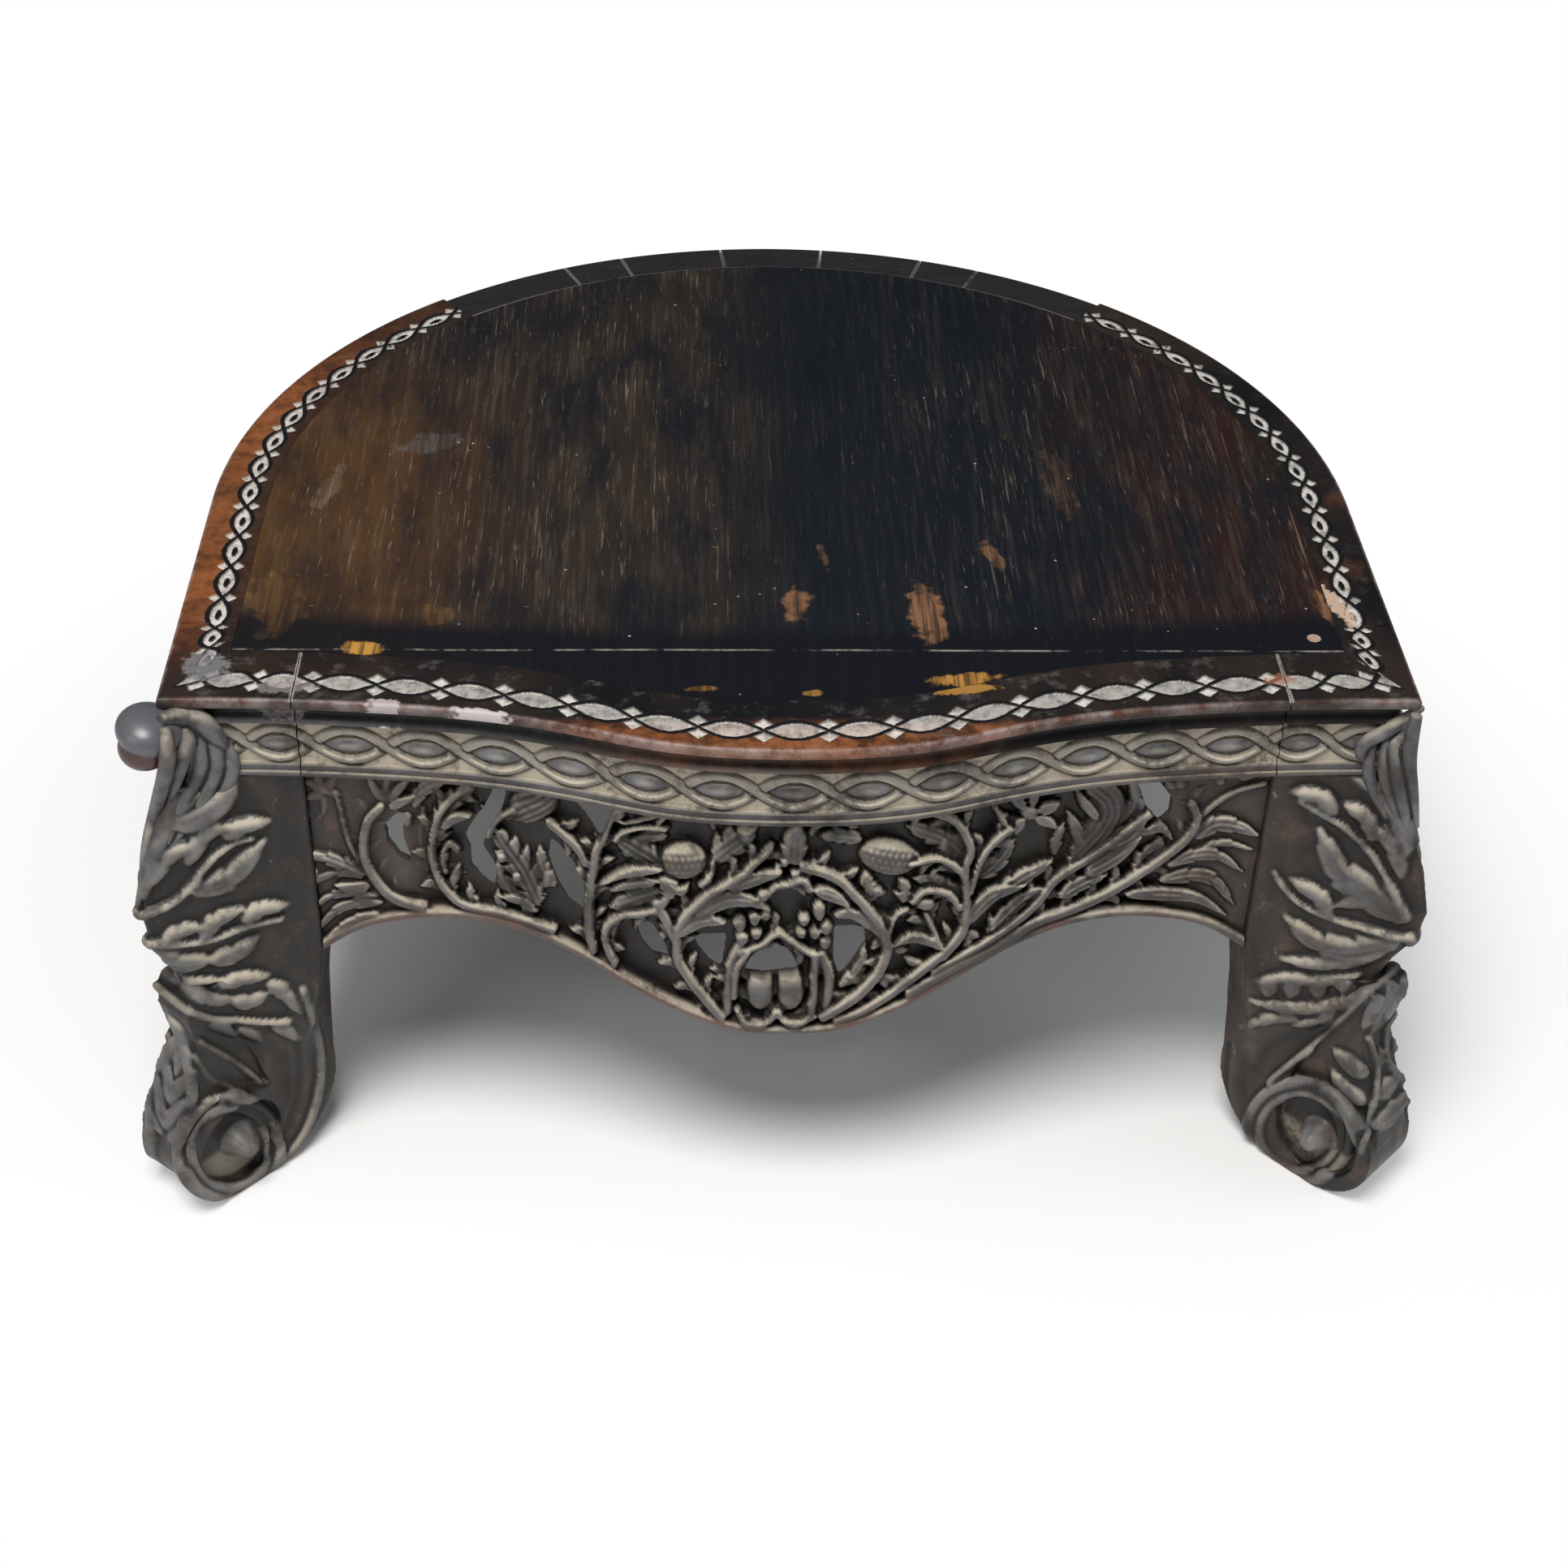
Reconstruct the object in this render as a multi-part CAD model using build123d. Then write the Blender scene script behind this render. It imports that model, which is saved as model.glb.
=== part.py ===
"""Carved low stool: a D-shaped boarded seat on a jointed frame with four scroll-footed legs.

Lengths are in millimetres. The origin is on the floor, under the middle of the stool's box.
The straight, bowed front faces -Y and +Z is up.
"""
from build123d import *
import os
from math import cos, degrees, radians, sin, sqrt, tan

# Driving sizes of the whole stool
stool_width = 610.0
stool_depth = 527.0
stool_height = 320.0
front_bow = 40.5
joint_forward = 1.0

# Seat rim: a thin lip over a cove, with a ledge inside that carries the boards
lip_height = 6.0
cove_height = 11.0
cove_depth = 8.0
rim_foot_inset = 4.0
side_border = 30.0
front_border = 40.0
ledge_width = 10.0
ledge_height = 5.0
rear_block_drop = 2.0
rear_block_angles = (41.0, 25.0, 18.0, 6.0)

# Frieze rail under the rim, with a bead along its lower edge
rail_inset = 6.0
rail_height = 33.0
rail_thickness = 28.0
bead_height = 3.0
bead_proud = 1.5

# Pierced aprons under the rails
apron_inset = 9.0
apron_thickness = 24.0
plain_apron_thickness = 20.0
ground_depth = 8.0
apron_end_drop = 118.0
apron_arch_drop = 91.0
pendant_drop = 142.0
side_pendant_drop = 112.0

# Legs
leg_block = 64.0
leg_edge = 2.0
knee_reach = 20.0
roll_radius = 35.0
roll_width = 40.0
roll_out = 2.0
foot_flat = 20.0
ribbon_back = 64.0
eye_ring_width = 9.0
eye_depth = 6.0
boss_radius = 11.0
boss_tip_radius = 4.0
boss_length = 15.0
heel_leaf_width = 28.0
scroll_neck_radius = 10.0
knob_radius = 18.0
knob_out = 9.0
knob_drop = 19.0
stub_radius = 4.0
stub_out = 2.0
stub_drop = 9.0
rear_leg_angles = (131.0, 143.0)

# Seat boards and the battens under them
board_count = 5
board_clearance = 0.2
tongue_width = 16.0
tongue_thickness = 4.0
tongue_end_margin = 26.0
batten_width = 42.0
batten_height = 16.0
batten_front_setback = 118.0
batten_leg_clearance = 12.0
batten_clearance = 0.3
screw_shank_radius = 2.0
screw_head_radius = 4.5
screw_head_height = 3.5
screw_bite = 8.0

# Glue blocks, dowels and pegs
glue_block_length = 38.0
glue_block_height = 24.0
dowel_radius = 5.0
dowel_length = 44.0
apron_dowel_drop = 32.0
pin_radius = 3.0
pin_length = 20.0
pin_setback = 17.0
pin_share = 0.76
peg_radius = 3.5
peg_length = 26.0
peg_margin = 13.0
overrun = 5.0

# Places worked out from the sizes above
half_width = stool_width / 2
corner_y = front_bow - stool_depth / 2
arc_y = stool_depth / 2 - half_width
joint_x = half_width - leg_block
joint_y = corner_y + leg_block
far = stool_width + stool_depth

lip_z = stool_height - lip_height
rim_z = lip_z - cove_height
board_z = rim_z + ledge_height
rail_z = rim_z - rail_height
batten_z = board_z - batten_height
rail_middle = rail_inset + rail_thickness / 2
root2 = sqrt(2)

# The front edge from corner to middle: share of the joint's x, share of the bow's rise past the joint
front_edge_shares = ((0.82, 0.08), (0.60, 0.26), (0.42, 0.55), (0.29, 0.80))


def front_points(side_inset, front_inset):
    """Points along the bowed front edge, left corner to right corner."""
    rise = front_bow - joint_forward
    right = [(half_width - side_inset, corner_y + front_inset)]
    right.append((joint_x, corner_y + front_inset - joint_forward))
    for x_share, rise_share in front_edge_shares:
        y = corner_y + front_inset - joint_forward - rise_share * rise
        right.append((x_share * joint_x, y))
    middle = [(0, corner_y + front_inset - front_bow)]
    left = [(-x, y) for x, y in right]
    return left + middle + right[::-1]


def outline(side_inset, front_inset):
    """The D-shaped plan, drawn in from the rim's edge by the two insets."""
    points = front_points(side_inset, front_inset)
    radius = half_width - side_inset
    front = Spline(*points)
    right = Line(points[-1], (radius, arc_y))
    back = ThreePointArc((radius, arc_y), (0, arc_y + radius), (-radius, arc_y))
    left = Line((-radius, arc_y), points[0])
    return make_face(Wire([front, right, back, left]))


def slab(side_inset, front_inset, low, high):
    """A flat slice of the plan between two heights."""
    return extrude(Pos(0, 0, low) * outline(side_inset, front_inset), high - low, dir=(0, 0, 1))


def flare(low_inset, high_inset, low, high):
    """A slice whose sides lean from one inset to another."""
    lower = Pos(0, 0, low) * outline(low_inset, low_inset)
    upper = Pos(0, 0, high) * outline(high_inset, high_inset)
    return loft([lower, upper], ruled=True)


def prism(points, low, high):
    """An upright prism on a polygon of plan points."""
    face = make_face(Polyline(*points, close=True))
    return extrude(Pos(0, 0, low) * face, high - low, dir=(0, 0, 1))


def polar(radius, angle):
    """A plan point at a radius and angle about the centre of the round back."""
    return (radius * cos(radians(angle)), arc_y + radius * sin(radians(angle)))


def wedge(first, last):
    """The space between two upright planes through the centre of the round back."""
    points = [(0, arc_y), polar(far, first), polar(far, last)]
    return prism(points, -overrun, stool_height + overrun)


def mirrored(shape):
    """The same piece on the other side of the stool."""
    return mirror(shape, about=Plane.YZ)


def block_zone(x_low, x_high, y_low, y_high):
    """An upright box over a rectangle of the plan."""
    points = [(x_low, y_low), (x_high, y_low), (x_high, y_high), (x_low, y_high)]
    return prism(points, -overrun, stool_height + overrun)


# Zones that cut the rings into members
corner_zone = block_zone(-far, -joint_x, -far, joint_y)
front_zone = block_zone(-joint_x, joint_x, -far, joint_y)
rear_zone = wedge(180 - rear_leg_angles[0], rear_leg_angles[0])
rear_leg_zone = wedge(*rear_leg_angles)
side_zone = prism(
    [(0, joint_y), (-far, joint_y), (-far, polar(far, rear_leg_angles[1])[1]),
     polar(far, rear_leg_angles[1]), (0, arc_y)],
    -overrun, stool_height + overrun)


# Rim: lip, cove and ledge
def build_rim_blank():
    """The rim's section all round the plan, solid inside, with the board rebate cut."""
    lip = slab(0, 0, lip_z, stool_height)
    waist_z = lip_z - cove_height / 2
    upper = flare(cove_depth, rim_foot_inset / 2, waist_z, lip_z)
    lower = flare(rim_foot_inset, cove_depth, rim_z, waist_z)
    blank = lip + upper + lower
    return blank - slab(side_border, front_border, board_z, stool_height + overrun)


rim_blank = build_rim_blank()
ledge_inner = slab(side_border + ledge_width, front_border + ledge_width,
                   rim_z - overrun, stool_height + overrun)
rim_ring = rim_blank - ledge_inner

rail_blank = slab(rail_inset, rail_inset, rail_z, rim_z)
rail_blank += slab(rail_inset - bead_proud, rail_inset - bead_proud, rail_z, rail_z + bead_height)
rail_inner_inset = rail_inset + rail_thickness
rail_ring = rail_blank - slab(rail_inner_inset, rail_inner_inset, rail_z - overrun, rim_z + overrun)


# Aprons
def apron_ring(thickness):
    """A curtain wall round the plan, from the rails down past the lowest apron."""
    low = rail_z - pendant_drop - overrun
    inner = apron_inset + thickness
    hollow = slab(inner, inner, low - overrun, rail_z + overrun)
    return slab(apron_inset, apron_inset, low, rail_z) - hollow


# Lower edge of each apron: share of its half length, share of the way from arch down to pendant
front_apron_shares = (
    (0.92, 0.25), (0.82, 0.07), (0.68, 0.0), (0.56, 0.08), (0.45, 0.27), (0.34, 0.53), (0.22, 0.79), (0.09, 0.98))
plain_apron_shares = ((0.84, 0.20), (0.62, 0.0), (0.40, 0.20), (0.20, 0.75), (0.08, 0.98))


def apron_edge(half_length, shares, pendant):
    """A curve along an apron's lower edge, in length and height."""
    right = [(half_length, rail_z - apron_end_drop)]
    for along, depth in shares:
        drop = apron_arch_drop + depth * (pendant - apron_arch_drop)
        right.append((along * half_length, rail_z - drop))
    left = [(-u, z) for u, z in right]
    return Spline(*left, (0, rail_z - pendant), *right[::-1])


def below_edge(half_length, shares, pendant, plane):
    """The space under an apron's lower edge, driven through the wall both ways."""
    edge = apron_edge(half_length, shares, pendant)
    low = rail_z - pendant_drop - front_bow
    high = rail_z - apron_end_drop
    frame = Polyline((half_length, high), (half_length, low), (-half_length, low), (-half_length, high))
    face = make_face(Wire([edge, *frame.edges()]))
    return extrude(plane * face, far, both=True)


# Openings between the front apron's stems: share of the joint's x, share of the drop to the pendant,
# half length and half width as shares of the apron's thickness, tilt in degrees
piercing_shares = (
    (-0.81, 0.28, 0.62, 0.22, 90), (-0.64, 0.27, 1.15, 0.24, 88), (-0.463, 0.38, 0.85, 0.25, 108),
    (-0.405, 0.10, 0.40, 0.30, 100), (-0.29, 0.63, 0.50, 0.25, 120), (-0.165, 0.65, 0.45, 0.28, 110),
    (-0.04, 0.68, 0.50, 0.28, 0), (0.125, 0.63, 0.55, 0.28, 75), (0.745, 0.12, 0.50, 0.25, 110))

# Sunken ground between the front apron's stems and leaves, left half and right half:
# share of the joint's x, share of the drop to the pendant
left_ground_shares = (
    ((-0.87, 0.30), (-0.855, 0.18), (-0.80, 0.12), (-0.765, 0.20), (-0.76, 0.36), (-0.735, 0.47),
     (-0.715, 0.545), (-0.77, 0.575), (-0.825, 0.52), (-0.86, 0.42)),
    ((-0.63, 0.03), (-0.70, 0.17), (-0.725, 0.33), (-0.71, 0.44), (-0.67, 0.535), (-0.58, 0.555),
     (-0.50, 0.57), (-0.435, 0.58), (-0.435, 0.36), (-0.495, 0.17), (-0.545, 0.175), (-0.59, 0.13),
     (-0.60, 0.03)),
    ((-0.485, 0.03), (-0.47, 0.08), (-0.43, 0.20), (-0.41, 0.17), (-0.385, 0.03)),
    ((-0.395, 0.16), (-0.37, 0.10), (-0.30, 0.12), (-0.275, 0.17), (-0.275, 0.26), (-0.21, 0.33),
     (-0.20, 0.37), (-0.235, 0.48), (-0.265, 0.44), (-0.30, 0.47), (-0.375, 0.53), (-0.40, 0.50)),
    ((-0.375, 0.62), (-0.35, 0.54), (-0.29, 0.50), (-0.255, 0.60), (-0.235, 0.72), (-0.18, 0.84),
     (-0.25, 0.81), (-0.34, 0.70)),
    ((-0.225, 0.58), (-0.17, 0.53), (-0.13, 0.56), (-0.13, 0.86), (-0.175, 0.80), (-0.215, 0.68)),
    ((-0.165, 0.04), (-0.075, 0.04), (-0.06, 0.11), (-0.12, 0.23), (-0.175, 0.32), (-0.17, 0.15)))
right_ground_shares = (
    ((0.13, 0.31), (0.25, 0.31), (0.34, 0.28), (0.355, 0.45), (0.345, 0.60), (0.30, 0.70), (0.215, 0.78),
     (0.215, 0.55), (0.19, 0.42)),
    ((0.40, 0.33), (0.42, 0.20), (0.48, 0.15), (0.56, 0.12), (0.61, 0.15), (0.60, 0.29), (0.53, 0.41),
     (0.50, 0.49), (0.42, 0.60), (0.385, 0.58), (0.38, 0.47)),
    ((0.74, 0.23), (0.79, 0.15), (0.825, 0.20), (0.79, 0.33), (0.70, 0.45), (0.57, 0.53), (0.56, 0.49),
     (0.61, 0.38), (0.68, 0.31)),
    ((0.11, 0.16), (0.06, 0.13), (0.06, 0.04), (0.12, 0.10), (0.20, 0.09), (0.22, 0.04), (0.27, 0.05),
     (0.32, 0.15), (0.25, 0.20), (0.17, 0.12)))

# How much of the front apron's left half, from its end inward, each half of a plain apron repeats
side_repeat_share = 0.62
rear_repeat_share = 0.89


def local_drop(share, shares, pendant):
    """How far an apron reaches down at a share of its half length."""
    rows = [(along, apron_arch_drop + depth * (pendant - apron_arch_drop)) for along, depth in shares]
    rows = [(1, apron_end_drop), *rows, (0, pendant)]
    for (outer, outer_drop), (inner, inner_drop) in zip(rows, rows[1:]):
        if share >= inner:
            return inner_drop + (share - inner) / (outer - inner) * (outer_drop - inner_drop)


def wall_plane(run):
    """An upright plane touching the plan, at a run back from the left corner along side and arc."""
    straight = arc_y - corner_y
    turn = max(0, degrees((run - straight) / half_width))
    x, y = polar(half_width, 180 - turn)
    if not turn:
        y = corner_y + run
    along = (sin(radians(turn)), cos(radians(turn)), 0)
    inward = (cos(radians(turn)), -sin(radians(turn)), 0)
    return Plane(origin=(x, y, 0), x_dir=along, z_dir=inward)


def front_relief():
    """The front apron's ground and openings, cut straight back."""
    skin = apron_ring(ground_depth) & front_zone
    cutter = []
    for field in left_ground_shares + right_ground_shares:
        points = [(x_share * joint_x, rail_z - drop_share * pendant_drop) for x_share, drop_share in field]
        face = make_face(Polyline(*points, close=True))
        cutter.append(skin & extrude(Plane.XZ * face, far, both=True))
    for x_share, drop_share, length_share, width_share, tilt in piercing_shares:
        slot = Ellipse(length_share * apron_thickness, width_share * apron_thickness)
        place = Pos(x_share * joint_x, rail_z - drop_share * pendant_drop) * Rot(0, 0, tilt)
        cutter.append(extrude(Plane.XZ * place * slot, far, both=True) & front_zone)
    return cutter


def half_relief(middle, half, repeat_share, sign):
    """One half of a plain apron's ground and openings, repeating the front apron's from its end."""
    skin = apron_ring(ground_depth)
    reach = apron_inset + plain_apron_thickness + overrun

    def repeated(x_share, drop_share):
        share = 1 - (1 + x_share) / repeat_share
        drop = local_drop(share, plain_apron_shares, side_pendant_drop)
        stretch = drop / local_drop(-x_share, front_apron_shares, pendant_drop)
        return sign * half * share, rail_z - drop_share * pendant_drop * stretch
    cutter = []
    for field in left_ground_shares:
        if max(x_share for x_share, _ in field) > repeat_share - 1:
            continue
        places = [repeated(*place) for place in field]
        centre = sum(run for run, _ in places) / len(places)
        face = make_face(Polyline(*[(run - centre, z) for run, z in places], close=True))
        cutter.append(skin & extrude(wall_plane(middle + centre) * face, reach, both=True))
    for x_share, drop_share, length_share, width_share, tilt in piercing_shares:
        half_slot = width_share * apron_thickness
        if half * (1 - (1 + x_share) / repeat_share) > half_slot + overrun:
            run, z = repeated(x_share, drop_share)
            slot = Ellipse(length_share * apron_thickness, half_slot)
            place = Pos(0, z) * Rot(0, 0, sign * (90 - tilt) + 90)
            cutter.append(extrude(wall_plane(middle + run) * place * slot, reach, both=True))
    return cutter


def wall_relief(middle, half, repeat_share):
    """A plain apron's ground and openings on both sides of its middle run."""
    return half_relief(middle, half, repeat_share, -1) + half_relief(middle, half, repeat_share, 1)


# Legs
def ring_of(points, z):
    """A closed polygon at one height."""
    return make_face(Polyline(*[(x, y, z) for x, y in points], close=True))


def to_plan(origin, outward, reach, across):
    """A plan point from its reach along the outward direction and its place across it."""
    ox, oy = outward
    return (origin[0] + reach * ox - across * oy, origin[1] + reach * oy + across * ox)


front_origin = (-half_width, corner_y)
front_outward = (-1 / root2, -1 / root2)

# Knee of a leg: share of the height from floor to rail, share of the knee's reach
knee_shares = ((1.0, -0.25), (0.92, 0.25), (0.83, 0.75), (0.74, 1.0), (0.67, 0.9), (0.60, 0.55))

# Ankle: share of that height, then reach and half width of its outer, middle and back edges
# as shares of the leg block
ankle_shares = (
    (0.50, 0.05, 0.10, -0.72, 0.62, -1.30, 0.06),
    (0.39, -0.11, 0.20, -0.72, 0.50, -1.17, 0.13),
    (0.30, -0.25, 0.28, -0.70, 0.37, -1.06, 0.25),
    (0.22, -0.34, 0.31, -0.66, 0.32, -1.00, 0.31))


def knee_section(share, reach_share):
    """Hexagon through a front leg above its ankle: the arris swells out, the jointed faces stay true."""
    reach = reach_share * knee_reach
    x, y = front_origin
    return ring_of(
        [(x - reach + leg_edge, y - reach), (x - reach, y - reach + leg_edge),
         (x + apron_inset, joint_y), (-joint_x - leg_edge, joint_y),
         (-joint_x, joint_y - leg_edge), (-joint_x, y + apron_inset - joint_forward)],
        share * rail_z)


def ankle_section(origin, outward, row):
    """Hexagon through a leg where its two faces turn to face along the outward line."""
    share, outer, outer_half, middle, middle_half, back, back_half = row
    places = ((outer, -outer_half), (outer, outer_half), (middle, middle_half),
              (back, back_half), (back, -back_half), (middle, -middle_half))
    points = [to_plan(origin, outward, r * leg_block, a * leg_block) for r, a in places]
    return ring_of(points, share * rail_z)


# Foot: where the ankle meets it, the ribbon's bulge behind and the roll's crook, as shares
waist_height_share = 0.23
ribbon_bulge_shares = (0.80, 0.30)
crook_share = 0.6

# Leaf on the outer edge, from under the knee down over the roll: shares of the roll's radius and
# of the rail's height
heel_leaf_shares = (
    (-0.7, 0.53), (0.45, 0.53), (0.54, 0.476), (0.43, 0.40), (0.60, 0.33), (0.94, 0.23), (1.03, 0.164),
    (0.97, 0.09), (0.0, 0.09), (-0.7, 0.22))


def scroll_foot(origin, outward):
    """A ribbon that comes down behind and curls up into a roll, with a dished eye on each side."""
    top = roll_radius * 2
    waist_z = waist_height_share * rail_z
    bulge = (-ribbon_back * ribbon_bulge_shares[0], waist_z * ribbon_bulge_shares[1])
    back = ThreePointArc((-ribbon_back, waist_z), bulge, (-foot_flat / 2, 0))
    sole = Line((-foot_flat / 2, 0), (foot_flat / 2, 0))
    roll = ThreePointArc((foot_flat / 2, 0), (roll_out + roll_radius, roll_radius), (roll_out, top))
    crook = Polyline((roll_out, top), (-roll_radius * crook_share, waist_z), (-ribbon_back, waist_z))
    profile = make_face(Wire([back, sole, roll, *crook.edges()]))
    side = (-outward[1], outward[0], 0)
    plane = Plane(origin=(*origin, 0), x_dir=(*outward, 0), z_dir=Vector(*side) * -1)
    foot = extrude(plane * profile, roll_width / 2, both=True)
    leaf_points = [(reach * roll_radius, height * rail_z) for reach, height in heel_leaf_shares]
    leaf = make_face(Polyline(*leaf_points, close=True))
    foot += extrude(plane * leaf, heel_leaf_width / 2, both=True)
    dish_radius = roll_radius - eye_ring_width
    standing = (Align.CENTER, Align.CENTER, Align.MIN)
    for sign in (-1, 1):
        face_plane = Plane(origin=plane.origin + plane.z_dir * (sign * roll_width / 2),
                           x_dir=plane.x_dir * sign, z_dir=plane.z_dir * sign)
        seat = face_plane * Pos(sign * roll_out, roll_radius, -eye_depth)
        foot -= seat * Cylinder(dish_radius, eye_depth + overrun, align=standing)
        foot += seat * Cone(boss_radius, boss_tip_radius, boss_length, align=standing)
    return foot


def leg_head(zone):
    """A leg's top block, which carries its own length of rim and frieze."""
    return (rim_blank & zone) + (rail_blank & zone)


def front_leg():
    """Front left leg without its corner scroll."""
    sections = [knee_section(*row) for row in knee_shares]
    sections += [ankle_section(front_origin, front_outward, row) for row in ankle_shares]
    shaft = loft(sections, ruled=True)
    return leg_head(corner_zone) + shaft + scroll_foot(front_origin, front_outward)


# Rear leg above its ankle: share of the height, share of the knee's reach; then its ankle, as in front
rear_knee_shares = ((1.0, 0.0), (0.92, 0.25), (0.83, 0.75), (0.74, 1.0), (0.67, 0.9), (0.60, 0.55))
rear_ankle_shares = (
    (0.50, 0.14, 0.44, -0.55, 0.42, -1.00, 0.38),
    (0.39, -0.06, 0.38, -0.58, 0.38, -1.02, 0.35),
    (0.30, -0.22, 0.33, -0.62, 0.33, -1.02, 0.32),
    (0.22, -0.34, 0.31, -0.66, 0.32, -1.00, 0.31))


def rear_leg():
    """Rear left leg, which stands square to the round back."""
    middle = sum(rear_leg_angles) / 2
    half_angle = (rear_leg_angles[1] - rear_leg_angles[0]) / 2
    outward = (cos(radians(middle)), sin(radians(middle)))
    origin = polar(half_width, middle)
    spread = tan(radians(half_angle))
    waist = leg_block / 2
    face_half = (half_width - apron_inset) * spread
    waist_half = (half_width - waist) * spread
    back_half = (half_width - leg_block) * spread
    sections = []
    for share, reach_share in rear_knee_shares:
        reach = reach_share * (knee_reach + apron_inset) - apron_inset
        places = ((reach, -face_half), (reach, face_half), (-waist, waist_half),
                  (-leg_block, back_half), (-leg_block, -back_half), (-waist, -waist_half))
        points = [to_plan(origin, outward, r, a) for r, a in places]
        sections.append(ring_of(points, share * rail_z))
    for row in rear_ankle_shares:
        sections.append(ankle_section(origin, outward, row))
    shaft = loft(sections, ruled=True)
    inner = half_width - leg_block
    core = Pos(0, arc_y, 0) * Cylinder(inner, far, align=(Align.CENTER, Align.CENTER, Align.CENTER))
    return (leg_head(rear_leg_zone) - core) + shaft + scroll_foot(origin, outward)


def corner_scroll(radius, out, drop):
    """A scroll end on the arris of a front leg: a neck from the leg's face to a rounded end."""
    root = Vector(*to_plan(front_origin, front_outward, -rail_inset * root2, 0), rail_z)
    end = Vector(*to_plan(front_origin, front_outward, out, 0), stool_height - drop)
    rise = end - root
    neck = Cone(scroll_neck_radius, radius, rise.length, align=(Align.CENTER, Align.CENTER, Align.MIN))
    return Plane(origin=root, z_dir=rise) * neck + Pos(*end) * Sphere(radius)


# Seat boards
def build_boards():
    """Boards running front to back, edge to edge, with their loose tongues."""
    panel = slab(side_border + board_clearance, front_border + board_clearance, board_z, stool_height)
    panel_half = half_width - side_border
    width = 2 * panel_half / board_count
    tongues = []
    for i in range(1, board_count):
        x = i * width - panel_half
        reach = sqrt(panel_half ** 2 - x ** 2)
        back = arc_y + reach - tongue_end_margin
        front = corner_y + front_border + tongue_end_margin
        middle_z = (board_z + stool_height) / 2
        tongue = Box(tongue_width, back - front, tongue_thickness)
        tongues.append(Pos(x, (back + front) / 2, middle_z) * tongue)
    boards = []
    for i in range(board_count):
        left = i * width - panel_half
        low = left if i else left - overrun
        high = left + width if i < board_count - 1 else left + width + overrun
        boards.append(panel & block_zone(low, high, -far, far))
    return boards, tongues


# Battens and their screws
def rear_block_foot():
    """The foremost plan point of the glue block beside the left rear leg."""
    radius = half_width - rail_inner_inset
    swing = degrees(glue_block_length / radius)
    return polar(radius + overrun, rear_leg_angles[1] + swing)


def batten_fronts():
    """Where the front edges of the two battens lie, the rear one clear of the glue blocks."""
    return (corner_y + batten_front_setback,
            rear_block_foot()[1] - batten_leg_clearance - batten_width)


def build_battens():
    """Two cross battens under the boards, trimmed clear of the ledge and the leg heads."""
    reach = ledge_width + batten_clearance
    inside = slab(side_border + reach, front_border + reach, batten_z, board_z)
    battens = []
    for y in batten_fronts():
        battens.append(inside & block_zone(-far, far, y, y + batten_width))
    return battens


def build_screws():
    """Countersunk screws, one through each batten into each board."""
    width = 2 * (half_width - side_border) / board_count
    screws = []
    for front in batten_fronts():
        y = front + batten_width / 2
        for i in range(board_count):
            middle = (i - (board_count - 1) / 2) * width
            x = middle * (1 - batten_width / half_width)
            shank = Cylinder(screw_shank_radius, batten_height + screw_bite,
                             align=(Align.CENTER, Align.CENTER, Align.MIN))
            head = Cone(screw_head_radius, screw_shank_radius, screw_head_height,
                        align=(Align.CENTER, Align.CENTER, Align.MIN))
            screws.append(Pos(x, y, batten_z) * (shank + head))
    return screws


# Dowels between rails, aprons and legs
def dowel(x, y, z, angle):
    """A dowel lying level, centred on a joint, along a plan direction."""
    return Pos(x, y, z) * Rot(0, 0, angle) * Rot(0, 90, 0) * Cylinder(dowel_radius, dowel_length)


def build_dowels():
    """Dowels of one front leg and one rear leg, on the left."""
    levels = (rail_z + rail_height / 2, rail_z - apron_dowel_drop)
    front_y = corner_y - joint_forward + rail_middle
    side_x = -half_width + rail_middle
    front = []
    rear = []
    for z in levels:
        front.append(dowel(-joint_x, front_y, z, 0))
        front.append(dowel(side_x, joint_y, z, 90))
        for angle in rear_leg_angles:
            x, y = polar(half_width - rail_middle, angle)
            rear.append(dowel(x, y, z, angle + 90))
    return front, rear


# Upright pins between rim and rails, and pegs through the boards into the legs
def upright(x, y, low, radius, length):
    """A round peg standing on a height."""
    return Pos(x, y, low) * Cylinder(radius, length, align=(Align.CENTER, Align.CENTER, Align.MIN))


def build_pins():
    """Blind pins: front rim, side rims and one under each rear block."""
    low = rim_z - pin_length + ledge_height
    places = [(0, corner_y - front_bow + pin_setback)]
    for sign in (-1, 1):
        places.append((sign * joint_x * pin_share, corner_y - joint_forward + pin_setback / 2))
        places.append((sign * (half_width - pin_setback), joint_y + leg_block / 2))
        angle = 180 - (180 - rear_leg_angles[1]) / 2
        x, y = polar(half_width - pin_setback, angle)
        places.append((-sign * x, y))
    edges = rear_edges()
    for first, last in zip(edges, edges[1:]):
        places.append(polar(half_width - pin_setback, (first + last) / 2))
    return [upright(x, y, low, pin_radius, pin_length) for x, y in places]


def build_pegs():
    """Pegs through the seat's edge into the four leg heads."""
    low = stool_height - peg_length
    angle = sum(rear_leg_angles) / 2
    rear_x, rear_y = polar(half_width - side_border - peg_margin, angle)
    front_x = -half_width + side_border + peg_margin
    front_y = corner_y + front_border + peg_margin
    left = [(front_x, front_y), (rear_x, rear_y)]
    places = left + [(-x, y) for x, y in left]
    return [upright(x, y, low, peg_radius, peg_length) for x, y in places]


def rear_edges():
    """Angles of the joints between the plain rear blocks, right to left."""
    right = [90 - a for a in rear_block_angles]
    left = [90 + a for a in rear_block_angles]
    return right + left[::-1]


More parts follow.
